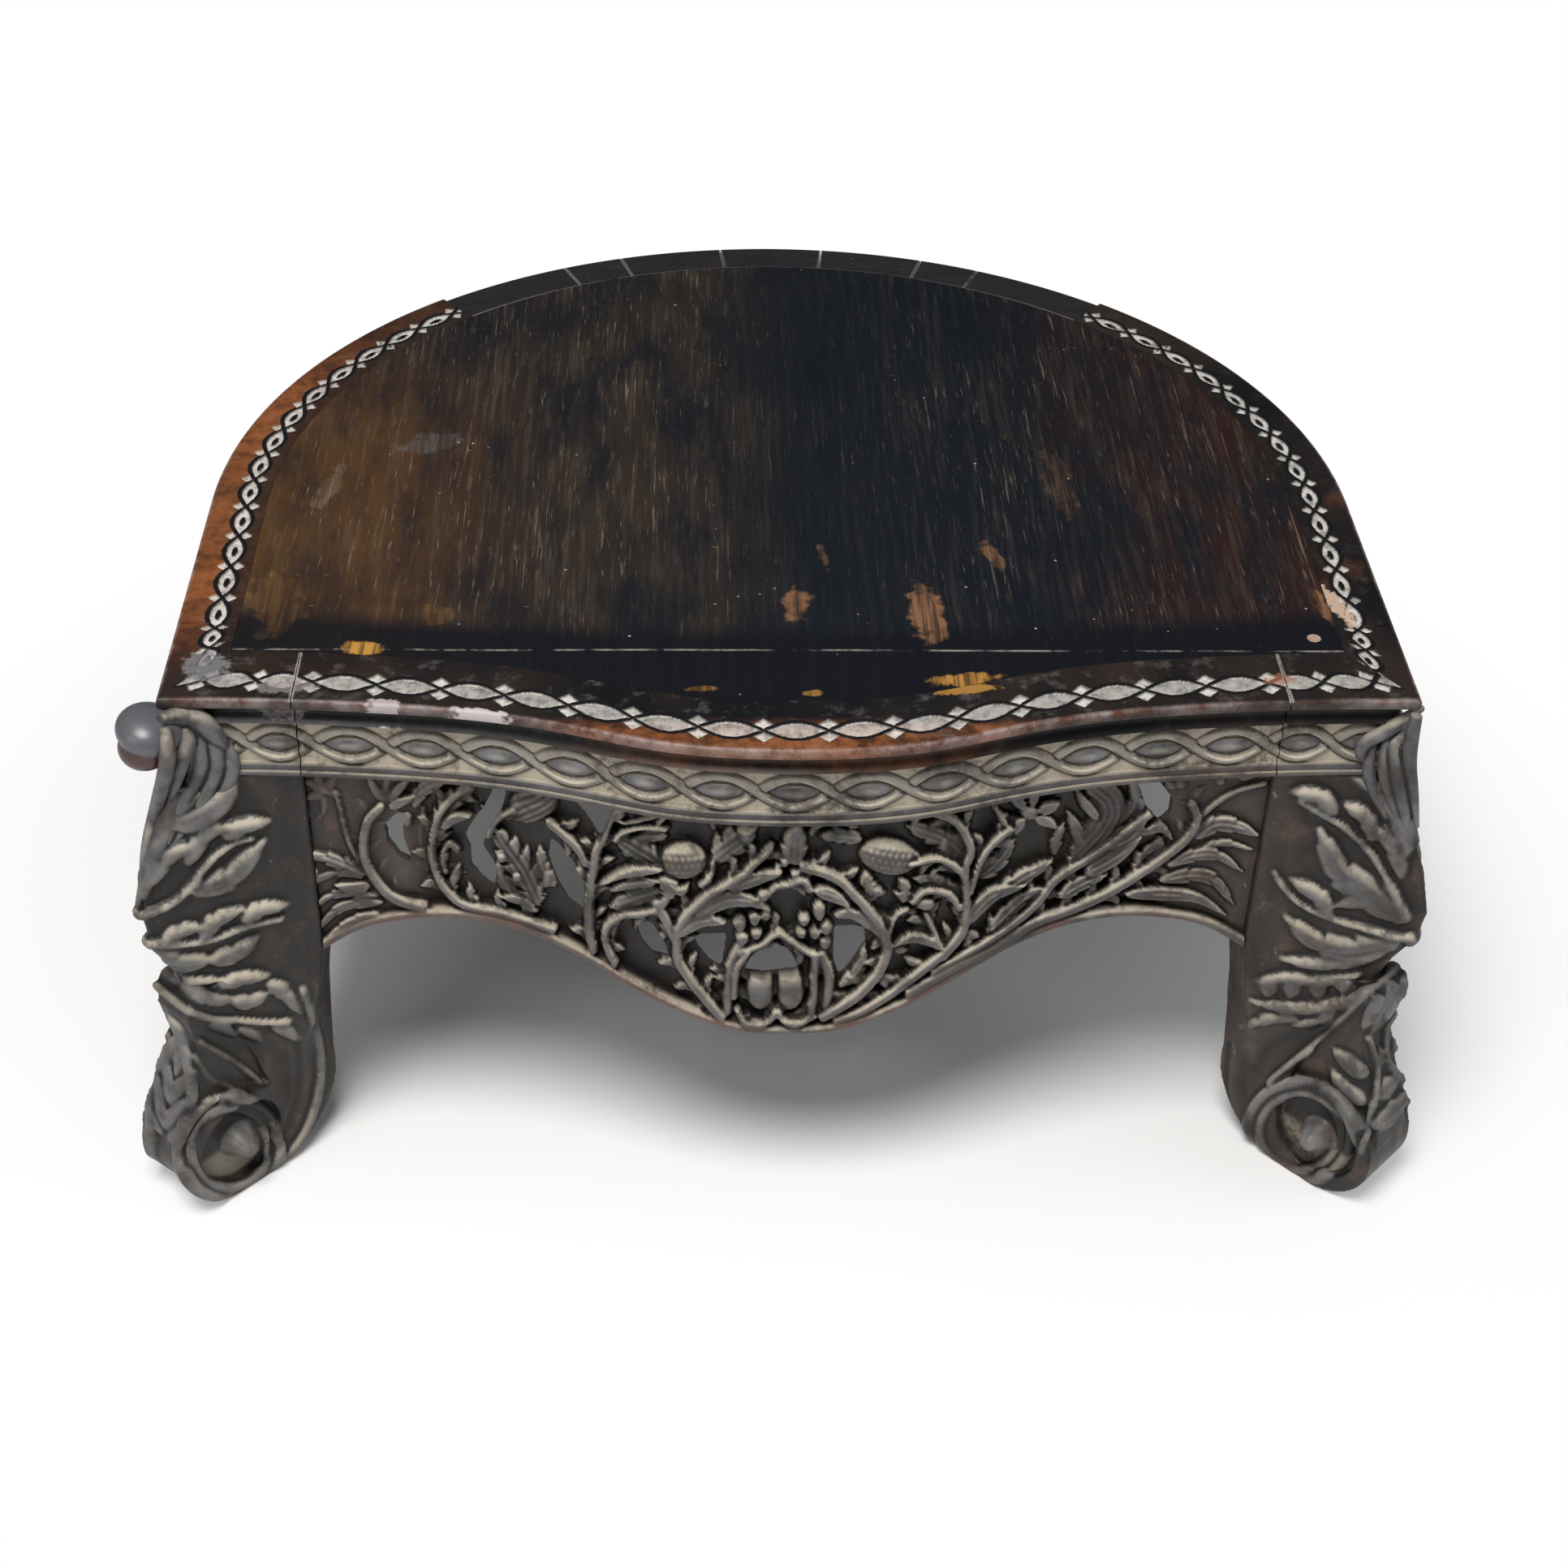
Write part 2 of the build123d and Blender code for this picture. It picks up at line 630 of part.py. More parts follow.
# Glue blocks in the corners between rails and legs
def build_glue_blocks(legs_solid):
    """Three-cornered blocks for one front and one rear leg on the left, fitted to rails and legs."""
    low = rim_z - glue_block_height - (rail_height - glue_block_height) / 2
    high = low + glue_block_height
    taken = rail_ring + legs_solid[0] + legs_solid[1]
    inner_y = corner_y - joint_forward + rail_inner_inset
    inner_x = -half_width + rail_inner_inset
    side = glue_block_length
    low_y = inner_y - joint_forward
    front_triangle = [(-joint_x, low_y), (-joint_x + side, low_y), (-joint_x, inner_y + side)]
    side_triangle = [(inner_x, joint_y), (inner_x + side, joint_y), (inner_x, joint_y + side)]
    front = [prism(front_triangle, low, high) - taken, prism(side_triangle, low, high) - taken]
    rear = []
    for angle, turn in zip(rear_leg_angles, (-1, 1)):
        radius = half_width - rail_inner_inset
        swing = degrees(glue_block_length / radius)
        points = [polar(radius + overrun, angle), polar(radius + overrun, angle + turn * swing),
                  polar(radius - glue_block_length, angle)]
        rear.append(prism(points, low, high) - taken)
    return front, rear


def fuse_all(solids):
    """One group of separate solids."""
    return Compound(children=[s for shape in solids for s in shape.solids()])


def build():
    """Every node of the stool, by name."""
    nodes = {}
    front_left = front_leg() + corner_scroll(knob_radius, knob_out, knob_drop)
    front_right = mirrored(front_leg() + corner_scroll(stub_radius, stub_out, stub_drop))
    rear_left = rear_leg()
    rear_right = mirrored(rear_left)

    boards, tongues = build_boards()
    battens = build_battens()
    screws = build_screws()
    front_dowels, rear_dowels = build_dowels()
    pins = build_pins()
    pegs = build_pegs()
    blocks_front, blocks_rear = build_glue_blocks((front_left, rear_left))

    left_dowels = front_dowels + rear_dowels
    dowels = left_dowels + [mirrored(d) for d in left_dowels]

    nodes["leg_front_left"] = front_left - front_dowels - pegs
    nodes["leg_front_right"] = front_right - [mirrored(d) for d in front_dowels] - pegs
    nodes["leg_rear_left"] = rear_left - rear_dowels - pegs
    nodes["leg_rear_right"] = rear_right - [mirrored(d) for d in rear_dowels] - pegs

    nodes["rim_front"] = (rim_ring & front_zone) - pins
    rim_side = rim_ring & side_zone
    nodes["rim_side_left"] = rim_side - pins
    nodes["rim_side_right"] = mirrored(rim_side) - pins
    low_rim = rim_ring - slab(-overrun, -overrun, stool_height - rear_block_drop, stool_height + overrun)
    edges = rear_edges()
    for i, (first, last) in enumerate(zip(edges, edges[1:])):
        nodes[f"rim_rear_block_{i + 1}"] = (low_rim & wedge(first, last)) - pins

    nodes["rail_front"] = (rail_ring & front_zone) - dowels - pins
    rail_side = rail_ring & side_zone
    nodes["rail_side_left"] = rail_side - dowels - pins
    nodes["rail_side_right"] = mirrored(rail_side) - dowels - pins
    nodes["rail_rear"] = (rail_ring & rear_zone) - dowels - pins

    front_wall = apron_ring(apron_thickness) & front_zone
    front_wall -= below_edge(joint_x, front_apron_shares, pendant_drop, Plane.XZ)
    nodes["apron_front"] = front_wall - front_relief() - dowels
    plain_ring = apron_ring(plain_apron_thickness)
    side_end_y = polar(half_width, rear_leg_angles[1])[1]
    side_half = (side_end_y - joint_y) / 2
    side_plane = Plane(origin=(0, joint_y + side_half, 0), x_dir=(0, 1, 0), z_dir=(1, 0, 0))
    side_wall = plain_ring & side_zone
    side_wall -= below_edge(side_half, plain_apron_shares, side_pendant_drop, side_plane)
    straight = arc_y - corner_y
    side_end = straight + half_width * radians(180 - rear_leg_angles[1])
    side_wall -= wall_relief((leg_block + side_end) / 2, (side_end - leg_block) / 2, side_repeat_share)
    nodes["apron_side_left"] = side_wall - dowels
    nodes["apron_side_right"] = mirrored(side_wall) - dowels
    rear_half = -polar(half_width, rear_leg_angles[0])[0]
    rear_wall = plain_ring & rear_zone
    rear_wall -= below_edge(rear_half, plain_apron_shares, side_pendant_drop, Plane.XZ)
    rear_run_half = half_width * radians(rear_leg_angles[0] - 90)
    rear_wall -= wall_relief(straight + half_width * radians(90), rear_run_half, rear_repeat_share)
    nodes["apron_rear"] = rear_wall - dowels

    for i, board in enumerate(boards):
        nodes[f"seat_board_{i + 1}"] = board - tongues - screws - pegs
    nodes["board_tongues"] = fuse_all(tongues)
    for name, batten in zip(("batten_front", "batten_rear"), battens):
        clear = batten - nodes["leg_rear_left"] - nodes["leg_rear_right"]
        nodes[name] = clear - screws
    nodes["batten_screws"] = fuse_all(screws)

    nodes["glue_blocks_front_left"] = fuse_all(blocks_front)
    nodes["glue_blocks_front_right"] = fuse_all([mirrored(b) for b in blocks_front])
    nodes["glue_blocks_rear_left"] = fuse_all(blocks_rear)
    nodes["glue_blocks_rear_right"] = fuse_all([mirrored(b) for b in blocks_rear])
    nodes["dowels_front_left"] = fuse_all(front_dowels)
    nodes["dowels_front_right"] = fuse_all([mirrored(d) for d in front_dowels])
    nodes["dowels_rear_left"] = fuse_all(rear_dowels)
    nodes["dowels_rear_right"] = fuse_all([mirrored(d) for d in rear_dowels])
    nodes["rim_pins"] = fuse_all(pins)
    nodes["seat_pegs"] = fuse_all(pegs)
    return nodes


def main():
    os.makedirs("parts", exist_ok=True)
    for name, shape in build().items():
        export_step(shape, f"parts/{name}.step")


main()
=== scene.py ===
"""Looks of the carved low stool: rim and frieze bands, foliage aprons, carved legs and finishes.

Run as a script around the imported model. Lengths below are in millimetres, times MM for metres.
"""
from functools import reduce, wraps
from math import cos, pi, radians, sin

import bmesh
import bpy
import numpy as np
from bpy.props import FloatProperty, FloatVectorProperty, PointerProperty
from mathutils import Matrix, Vector
from mathutils.bvhtree import BVHTree


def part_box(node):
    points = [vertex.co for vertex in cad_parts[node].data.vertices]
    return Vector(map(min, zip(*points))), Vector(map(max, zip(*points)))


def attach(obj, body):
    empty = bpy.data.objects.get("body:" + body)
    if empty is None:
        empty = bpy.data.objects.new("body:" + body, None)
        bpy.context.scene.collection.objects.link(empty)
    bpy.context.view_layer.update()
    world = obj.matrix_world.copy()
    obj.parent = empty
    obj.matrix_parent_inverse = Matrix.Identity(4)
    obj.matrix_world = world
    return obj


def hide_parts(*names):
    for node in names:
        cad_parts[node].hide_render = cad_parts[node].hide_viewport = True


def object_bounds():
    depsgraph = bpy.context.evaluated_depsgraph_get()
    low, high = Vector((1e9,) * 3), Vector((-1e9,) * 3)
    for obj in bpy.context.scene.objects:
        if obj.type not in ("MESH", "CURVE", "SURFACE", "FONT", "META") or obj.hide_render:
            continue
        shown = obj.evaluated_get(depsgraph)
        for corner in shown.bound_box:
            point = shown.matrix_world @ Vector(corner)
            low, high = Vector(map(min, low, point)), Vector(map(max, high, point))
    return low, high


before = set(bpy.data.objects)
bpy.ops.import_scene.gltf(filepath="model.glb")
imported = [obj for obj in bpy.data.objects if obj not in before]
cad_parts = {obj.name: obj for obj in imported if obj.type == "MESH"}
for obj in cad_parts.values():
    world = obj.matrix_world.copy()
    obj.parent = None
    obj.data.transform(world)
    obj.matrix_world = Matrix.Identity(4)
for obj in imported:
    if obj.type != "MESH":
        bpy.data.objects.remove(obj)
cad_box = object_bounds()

bl_info = {
    "name": "Carved Low Stool",
    "version": (1, 0, 0),
    "blender": (4, 5, 0),
    "location": "View3D > Sidebar > Stool",
    "description": "Models the carved surfaces and finishes of a low D-shaped stool",
    "category": "Add Mesh",
}

MM = 0.001


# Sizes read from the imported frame, in millimetres
def box_mm(node):
    """Lowest and highest corner of a CAD node, in millimetres."""
    low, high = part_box(node)
    return np.array(low) / MM, np.array(high) / MM


rim_low, rim_high = box_mm("rim_front")
side_low, side_high = box_mm("rim_side_right")
apron_low, apron_high = box_mm("apron_front")

HALF = side_high[0]
TOP = rim_high[2]
JOINT_X = rim_high[0]
LEG_BLOCK = HALF - JOINT_X
CORNER_Y = side_low[1] - LEG_BLOCK
FRONT_BOW = CORNER_Y - rim_low[1]
ARC_Y = box_mm("rim_rear_block_4")[1][1] - HALF
STRAIGHT = ARC_Y - CORNER_Y
RIM_Z = rim_low[2]
RAIL_Z = box_mm("rail_front")[0][2]
BOARD_Z = box_mm("seat_board_3")[0][2]
SIDE_JOINT = HALF + LEG_BLOCK
ARC_START = HALF + STRAIGHT
# Angles round the back, in degrees: both sides of a rear leg, and the joints between the plain blocks
REAR_LEG_ANGLES = (37.0, 49.0)
REAR_BLOCK_EDGES = (49.0, 65.0, 72.0, 84.0, 96.0, 108.0, 115.0, 131.0)


def length(name, text, default):
    """A size property in metres, with its default in millimetres."""
    return FloatProperty(name=name, description=text, default=default * MM, min=0.0,
                         subtype="DISTANCE", unit="LENGTH")


def colour(name, text, default):
    """A colour property."""
    return FloatVectorProperty(name=name, description=text, default=default, size=3, min=0.0,
                               max=1.0, subtype="COLOR")


class StoolSizes(bpy.types.PropertyGroup):
    """Sizes of the carving and mouldings."""
    joint_forward: length("Joint forward", "How far the front stands ahead of its corners at the joints", 1.0)
    side_border: length("Side border", "Width of the rim's top at the sides and back", 30.0)
    front_border: length("Front border", "Width of the rim's top at the front", 40.0)
    ledge: length("Ledge", "Width of the ledge that carries the boards", 10.0)
    lip: length("Lip", "Height of the thin lip round the rim", 6.0)
    cove: length("Cove", "Depth of the cove under the lip", 8.0)
    rail_inset: length("Rail inset", "How far the frieze rail is set in from the lip", 6.0)
    rail_thickness: length("Rail thickness", "Thickness of the frieze rails", 28.0)
    frieze_pitch: length("Frieze pitch", "Length of one link of the frieze", 36.0)
    band_pitch: length("Band pitch", "Length of one eye of the front rim band", 31.0)
    side_pitch: length("Side pitch", "Length of one eye of the side rim bands", 29.0)
    apron_inset: length("Apron inset", "How far the aprons' carved faces are set in from the lip", 9.0)
    ground_depth: length("Ground depth", "How deep the ground of the foliage lies behind its face", 9.0)
    voxel: length("Voxel", "Grain of the carved surfaces", 1.1)
    step: length("Step", "Spacing of the points along the carved bands", 1.0)


class StoolColours(bpy.types.PropertyGroup):
    """Colours of the finishes."""
    black: colour("Black wood", "Smoked, waxed wood", (0.013, 0.011, 0.010))
    brown: colour("Brown wood", "Wood where the polish is thin", (0.036, 0.024, 0.018))
    # The slate colour is a painted sheen and reflection on the high carving
    sheen_grey: colour("Slate sheen", "Grey-blue polish on the high carving", (0.150, 0.150, 0.158))
    red: colour("Worn edge", "Red-brown wood on rubbed edges", (0.120, 0.042, 0.024))
    orange: colour("Warm margin", "Bright worn wood of the left rim", (0.235, 0.078, 0.024))
    # The dust colour is also the tan of painted highlights on parts facing up
    dust_and_highlight_tan: colour("Tan", "Dust and old wax in the carving", (0.500, 0.440, 0.340))
    chalk: colour("Chalk", "Pale filling in the rim's band", (0.560, 0.535, 0.500))
    ochre: colour("Ochre", "Ochre spots on the panel", (0.430, 0.215, 0.045))
    amber: colour("Amber", "Thin golden polish at the panel's left", (0.074, 0.036, 0.014))
    worn: colour("Worn spot", "Bare brown wood where the polish is gone", (0.200, 0.100, 0.050))
    streak: colour("Streak", "Pale open grain of the panel", (0.190, 0.145, 0.095))
    iron: colour("Iron", "Old screws", (0.060, 0.050, 0.045))


def sizes():
    """The scene's size settings."""
    return bpy.context.scene.stool_sizes


def mm(name):
    """One size setting, in millimetres."""
    return getattr(sizes(), name) / MM


def rgb(name):
    """One colour setting with full alpha."""
    return (*getattr(bpy.context.scene.stool_colours, name), 1.0)


# Plan of the stool: places along the half front and how far each stands out towards the middle of the bow
FRONT_SHARES = ((0.82, 0.08), (0.60, 0.26), (0.42, 0.55), (0.29, 0.80))


def natural_spline(xs, ys):
    """A function through points with a smooth bend at each and none at the ends."""
    count = len(xs)
    gaps = np.diff(xs)
    matrix = np.eye(count)
    right = np.zeros(count)
    for i in range(1, count - 1):
        matrix[i, i - 1:i + 2] = gaps[i - 1], 2 * (gaps[i - 1] + gaps[i]), gaps[i]
        right[i] = 6 * ((ys[i + 1] - ys[i]) / gaps[i] - (ys[i] - ys[i - 1]) / gaps[i - 1])
    bends = np.linalg.solve(matrix, right)

    def value(x):
        i = np.clip(np.searchsorted(xs, x) - 1, 0, count - 2)
        gap = gaps[i]
        a = (xs[i + 1] - x) / gap
        b = (x - xs[i]) / gap
        curve = ((a ** 3 - a) * bends[i] + (b ** 3 - b) * bends[i + 1]) * gap ** 2 / 6
        return a * ys[i] + b * ys[i + 1] + curve
    return value


def front_curve():
    """The front edge's y for any x."""
    forward = mm("joint_forward")
    rise = FRONT_BOW - forward
    half = [(HALF, CORNER_Y), (JOINT_X, CORNER_Y - forward)]
    half += [(x * JOINT_X, CORNER_Y - forward - r * rise) for x, r in FRONT_SHARES]
    points = [(-x, y) for x, y in half] + [(0.0, CORNER_Y - FRONT_BOW)] + half[::-1]
    xs, ys = np.array(points).T
    return natural_spline(xs, ys)


def front_y(x):
    """The front edge's y at x, in millimetres."""
    return front_curve()(np.clip(np.asarray(x, float), -HALF, HALF))


def plan(s, side_inset, front_inset):
    """Plan point at a run s round the edge from the middle of the front, drawn in by the insets."""
    s, i, f = np.broadcast_arrays(np.asarray(s, float), side_inset, front_inset)
    sign = np.where(s < 0, -1.0, 1.0)
    run = np.abs(s)
    past = np.clip((run - JOINT_X) / LEG_BLOCK, 0, 1)
    front_x = np.where(run < JOINT_X, run, JOINT_X + past * (LEG_BLOCK - i))
    down = np.clip((run - HALF) / LEG_BLOCK, 0, 1)
    block_y = CORNER_Y + f + down * (LEG_BLOCK - f)
    side_y = np.where(run < SIDE_JOINT, block_y, CORNER_Y + run - HALF)
    angle = np.clip(run - ARC_START, 0, None) / HALF
    arc_x = (HALF - i) * np.cos(angle)
    arc_y = ARC_Y + (HALF - i) * np.sin(angle)
    x = np.where(run <= HALF, front_x, arc_x)
    y = np.where(run <= HALF, front_y(run) + f, np.where(run <= ARC_START, side_y, arc_y))
    return x * sign, y


def arc_run(angle):
    """Run round the edge of a point at an angle about the round back's centre."""
    return ARC_START + HALF * radians(angle)


# Meshes
def store(mesh, key, values):
    """Keep a value at each of a mesh's points."""
    layer = mesh.attributes.new(key, "FLOAT", "POINT")
    layer.data.foreach_set("value", np.asarray(values, np.float32).ravel())


def new_object(name, points, faces, attributes=None):
    """A mesh object in the collection, from points in millimetres."""
    mesh = bpy.data.meshes.new(name)
    mesh.from_pydata((np.asarray(points, float) * MM).tolist(), [], faces)
    for key, values in (attributes or {}).items():
        store(mesh, key, values)
    mesh.update()
    piece = bpy.data.objects.new(name, mesh)
    bpy.context.collection.objects.link(piece)
    return piece


def pick(*pieces):
    """Select only these pieces, the first one active."""
    bpy.ops.object.select_all(action="DESELECT")
    for piece in pieces:
        piece.select_set(True)
    bpy.context.view_layer.objects.active = pieces[0]


def close_up(piece, angle):
    """Merge doubles, turn every face outwards and shade smoothly but for edges sharper than an angle."""
    pick(piece)
    bpy.ops.object.mode_set(mode="EDIT")
    bpy.ops.mesh.select_all(action="SELECT")
    bpy.ops.mesh.remove_doubles(threshold=0.00001)
    bpy.ops.mesh.normals_make_consistent(inside=False)
    bpy.ops.object.mode_set(mode="OBJECT")
    bpy.ops.object.shade_smooth_by_angle(angle=radians(angle))


def tube_faces(rows, columns):
    """Faces of a section swept through rows and closed at both ends."""
    faces = []
    for a in range(0, (rows - 1) * columns, columns):
        for c in range(columns):
            d = (c + 1) % columns
            faces.append((a + c, a + d, a + columns + d, a + columns + c))
    last = (rows - 1) * columns
    return faces + [tuple(range(columns))[::-1], tuple(range(last, last + columns))]


def finish(piece, look, node):
    """Give a piece its finish and put it on the stool in place of a CAD node."""
    piece.data.materials.clear()
    piece.data.materials.append(look)
    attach(piece, "root")
    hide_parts(node)
    return piece


# Interlaced bands
def rounded(distance, half_width):
    """Height share of a round ribbon at a distance from its centre line."""
    return np.sqrt(np.clip(1 - (distance / half_width) ** 2, 0, 1))


def interlace(along, across, pitch, swing, ribbon, line=0.8):
    """Height shares of two woven ribbons, the lower dipping under at each crossing, and their outlines."""
    phase = pi * along / pitch
    centre = swing * np.cos(phase)
    slope = swing * pi / pitch * np.sin(phase)
    stretch = np.sqrt(1 + slope ** 2)
    first = np.abs(across - centre) / stretch
    second = np.abs(across + centre) / stretch
    even = np.floor(along / pitch) % 2 == 0
    over = np.where(even, first, second)
    under = np.where(even, second, first)
    gap = 0.6
    hidden = np.clip((over - ribbon / 2) / gap, 0, 1)
    edges = [np.clip(1.4 - 2 * np.abs(d - (ribbon + line) / 2) / line, 0, 1) for d in (over, under)]
    lines = np.maximum(edges[0], edges[1] * hidden)
    return np.maximum(rounded(over, ribbon / 2), rounded(under, ribbon / 2) * hidden), lines


def lens(along, across, pitch, long_half, short_half):
    """Height share of an oval bead in the middle of each eye."""
    local = (along + pitch / 2) % pitch - pitch / 2
    return np.sqrt(np.clip(1 - (local / long_half) ** 2 - (across / short_half) ** 2, 0, 1))


# On the front and at the sides: the band's middle as a share of the border, its swing and its spikes
BAND_CENTRES = (0.40, 0.64)
BAND_SWINGS = (7.0, 5.3)
BAND_RIBBON = 2.6
BAND_DEPTH = 1.2
BAND_SPIKES = (9.5, 6.4)
JOINT_GAP = 0.35


def top_band(s, share, width, pitch):
    """The rim's carved band at a run and a share of the border: its depth, pale filling and black lines."""
    on_front = np.abs(s) <= HALF
    along = np.where(on_front, s, np.abs(s) - HALF - pitch / 2)
    swing = np.where(on_front, *BAND_SWINGS)
    across = (share - np.where(on_front, *BAND_CENTRES)) * width
    ribbons = np.clip(interlace(along, across, pitch, swing, BAND_RIBBON)[0] * 3, 0, 1)
    local = (along + pitch / 2) % pitch - pitch / 2
    reach = swing * np.abs(np.cos(pi * along / pitch))
    eye = np.clip((reach - np.abs(across) - BAND_RIBBON / 2 + 0.5) / 0.5, 0, 1)
    outside = np.clip((np.abs(across) - reach - BAND_RIBBON / 2 + 0.3) / 0.4, 0, 1)
    spike = np.where(on_front, *BAND_SPIKES) * (1 - np.abs(across) / (swing + 2.2))
    spike = np.clip((spike - pitch / 2 + np.abs(local)) / 0.5, 0, 1) * outside
    bead_long, bead_short = np.where(on_front, 0.40, 0.17), np.where(on_front, 0.8, 0.30)
    bead = lens(along, across, pitch, pitch * bead_long, swing * bead_short)
    filled = np.where(on_front, 0.62 + 0.38 * (bead < 0.45), 1 - np.clip(bead * 4, 0, 1))
    pale = np.maximum(eye * filled, spike) * (1 - ribbons)
    lines_and_shade = np.maximum(ribbons, np.where(on_front, 0, np.clip(bead * 4, 0, 1)))
    depth = np.clip(spike + eye * (1 - bead), 0, 1) * (1 - ribbons)
    return -BAND_DEPTH * depth, pale, lines_and_shade


FRIEZE_SWING = 9.0
FRIEZE_RIBBON = 5.0
FRIEZE_RELIEF = 2.4
FRIEZE_MIDDLE = 14.2


def frieze_relief(s, z):
    """The frieze's woven links: relief; tan dust between and along them and a painted highlight on each bead's crown;
    a painted sheen on the high edges; black outlines, and painted shade round each bead and under the cove.
    """
    pitch = mm("frieze_pitch")
    run = np.abs(s)
    along = np.where(run <= HALF, s, run - HALF - pitch / 2)
    across = z - (RIM_Z - FRIEZE_MIDDLE)
    ribbons, lines = interlace(along, across, pitch, FRIEZE_SWING, FRIEZE_RIBBON, 1.1)
    beads = lens(along, across, pitch, pitch * 0.31, FRIEZE_SWING * 0.46)
    wide = lens(along, across, pitch, pitch * 0.36, FRIEZE_SWING * 0.60)
    reach = FRIEZE_SWING + FRIEZE_RIBBON / 2
    fillet = np.clip((-across - reach - 0.4) / 0.6, 0, 1)
    high = np.maximum(np.maximum(ribbons, beads * 0.9), fillet * 0.9)
    # Painted shade: the groove round each bead and the line under the cove are black
    groove = np.clip(wide * 3, 0, 1) * (1 - np.clip(beads * 3, 0, 1))
    top_line = np.clip((across - reach - 0.2) / 0.6, 0, 1)
    lines_and_shade = np.maximum(np.maximum(lines, groove * 0.9), top_line) * (1 - fillet)
    centre = FRIEZE_SWING * np.abs(np.cos(pi * along / pitch))
    ring = np.exp(-((np.abs(across) - centre + 1.2) / 0.8) ** 2) * np.clip((centre - 2.5) / 2, 0, 1)
    ring = ring * np.where(across < 0, 1.0, 0.75)
    dust_and_highlight = np.maximum(0.80 - np.clip(ribbons * 3, 0, 1) * 0.50, ring)
    # Tan on each bead's crown is a painted highlight
    dust_and_highlight = dust_and_highlight * (1 - np.clip(beads * 3, 0, 1)) * (1 - fillet) + 0.35 * np.clip(beads - 0.85, 0, 1) * 6
    # Edge values: a painted sheen on the beads, ribbons and fillet
    edge = np.maximum(np.clip(beads * 1.6, 0, 1), np.maximum(fillet * 0.45, ribbons * 0.8))
    return FRIEZE_RELIEF * (high - 1), dust_and_highlight, edge, lines_and_shade


def member(name, s, side_inset, front_inset, z, attributes):
    """A moulded member: a closed section swept round the plan between two runs."""
    rows, columns = z.shape
    x, y = plan(s, side_inset, front_inset)
    points = np.stack([x, y, z], -1).reshape(-1, 3)
    piece = new_object(name, points, tube_faces(rows, columns), attributes)
    close_up(piece, 35.0)
    return piece


def run_rows(start, end):
    """Rows of a swept member from start to end, with a joint's hair line at each and a row at a corner."""
    low = start + JOINT_GAP
    high = end - JOINT_GAP
    stops = [low] + [c for c in (-HALF, HALF) if low < c < high] + [high]
    rows = [np.linspace(a, b, max(int((b - a) / mm("step")), 8) + 1) for a, b in zip(stops, stops[1:])]
    return np.unique(np.concatenate(rows))[:, None]


TOP_COLUMNS = 61
# Shares of a painted highlight up the lip and over its rounded top edge
LIP_HIGHLIGHT = (0.25, 0.35, 0.7, 1.0, 1.0, 0.9, 0.7, 0.4)


def rim_member(name, start, end, carved=True, drop=0.0):
    """A length of rim: cove, lip, carved top, rebate for the boards and ledge."""
    s = run_rows(start, end)
    rows = len(s)
    on_front = np.abs(s) <= HALF
    lip = mm("lip")
    ledge = mm("ledge")
    turn = np.linspace(0, 1, 9)
    cove_z = RIM_Z + (TOP - lip - RIM_Z) * turn
    cove_inset = 4.0 - 2.6 * turn + mm("cove") * 0.62 * np.sin(pi * turn)
    round_turn = np.linspace(0, pi / 2, 6)
    lip_inset = np.concatenate([[0.5, 0.0], 1.6 * (1 - np.cos(round_turn))])
    lip_z = np.concatenate([[TOP - lip + 0.2, TOP - lip + 1.2], TOP - 1.6 + 1.6 * np.sin(round_turn)])
    share = np.linspace(0.05, 1, TOP_COLUMNS + 1)[1:]
    side, front = (
        np.concatenate([cove_inset, lip_inset, share * border, border + np.array([0.0, ledge, ledge])])
        for border in (mm("side_border"), mm("front_border")))
    z = np.concatenate([cove_z, lip_z - drop, np.full(TOP_COLUMNS, TOP - drop), [BOARD_Z, BOARD_Z, RIM_Z]])
    side, front, z = (np.repeat(values[None, :], rows, 0) for values in (side, front, z))
    pale, lines_and_shade, inner, dust_and_highlight, edge = (np.zeros_like(z) for _ in range(5))
    first = len(cove_inset) + len(lip_inset)
    top = slice(first, first + TOP_COLUMNS)
    inner[:, top] = share
    if carved:
        width = np.where(on_front, mm("front_border"), mm("side_border"))
        pitch = np.where(on_front, mm("band_pitch"), mm("side_pitch"))
        depth, pale[:, top], lines_and_shade[:, top] = top_band(s, share[None, :], width, pitch)
        z[:, top] += depth
    # Painted shade in the cove under the lip
    lines_and_shade[:, :len(cove_inset) - 1] = 0.6
    joint = np.abs(np.abs(s[:, 0]) - JOINT_X) < 1
    if not carved:
        joint[[0, -1]] = True
    pale[joint, first - 4:first + TOP_COLUMNS] = 0.75
    # A painted highlight up the lip
    edge[:, len(cove_inset):first] = LIP_HIGHLIGHT
    attributes = {"pale": pale, "lines_and_shade": lines_and_shade, "inner": inner, "dust_and_highlight": dust_and_highlight, "edge": edge}
    return member(name, s, side, front, z, attributes)


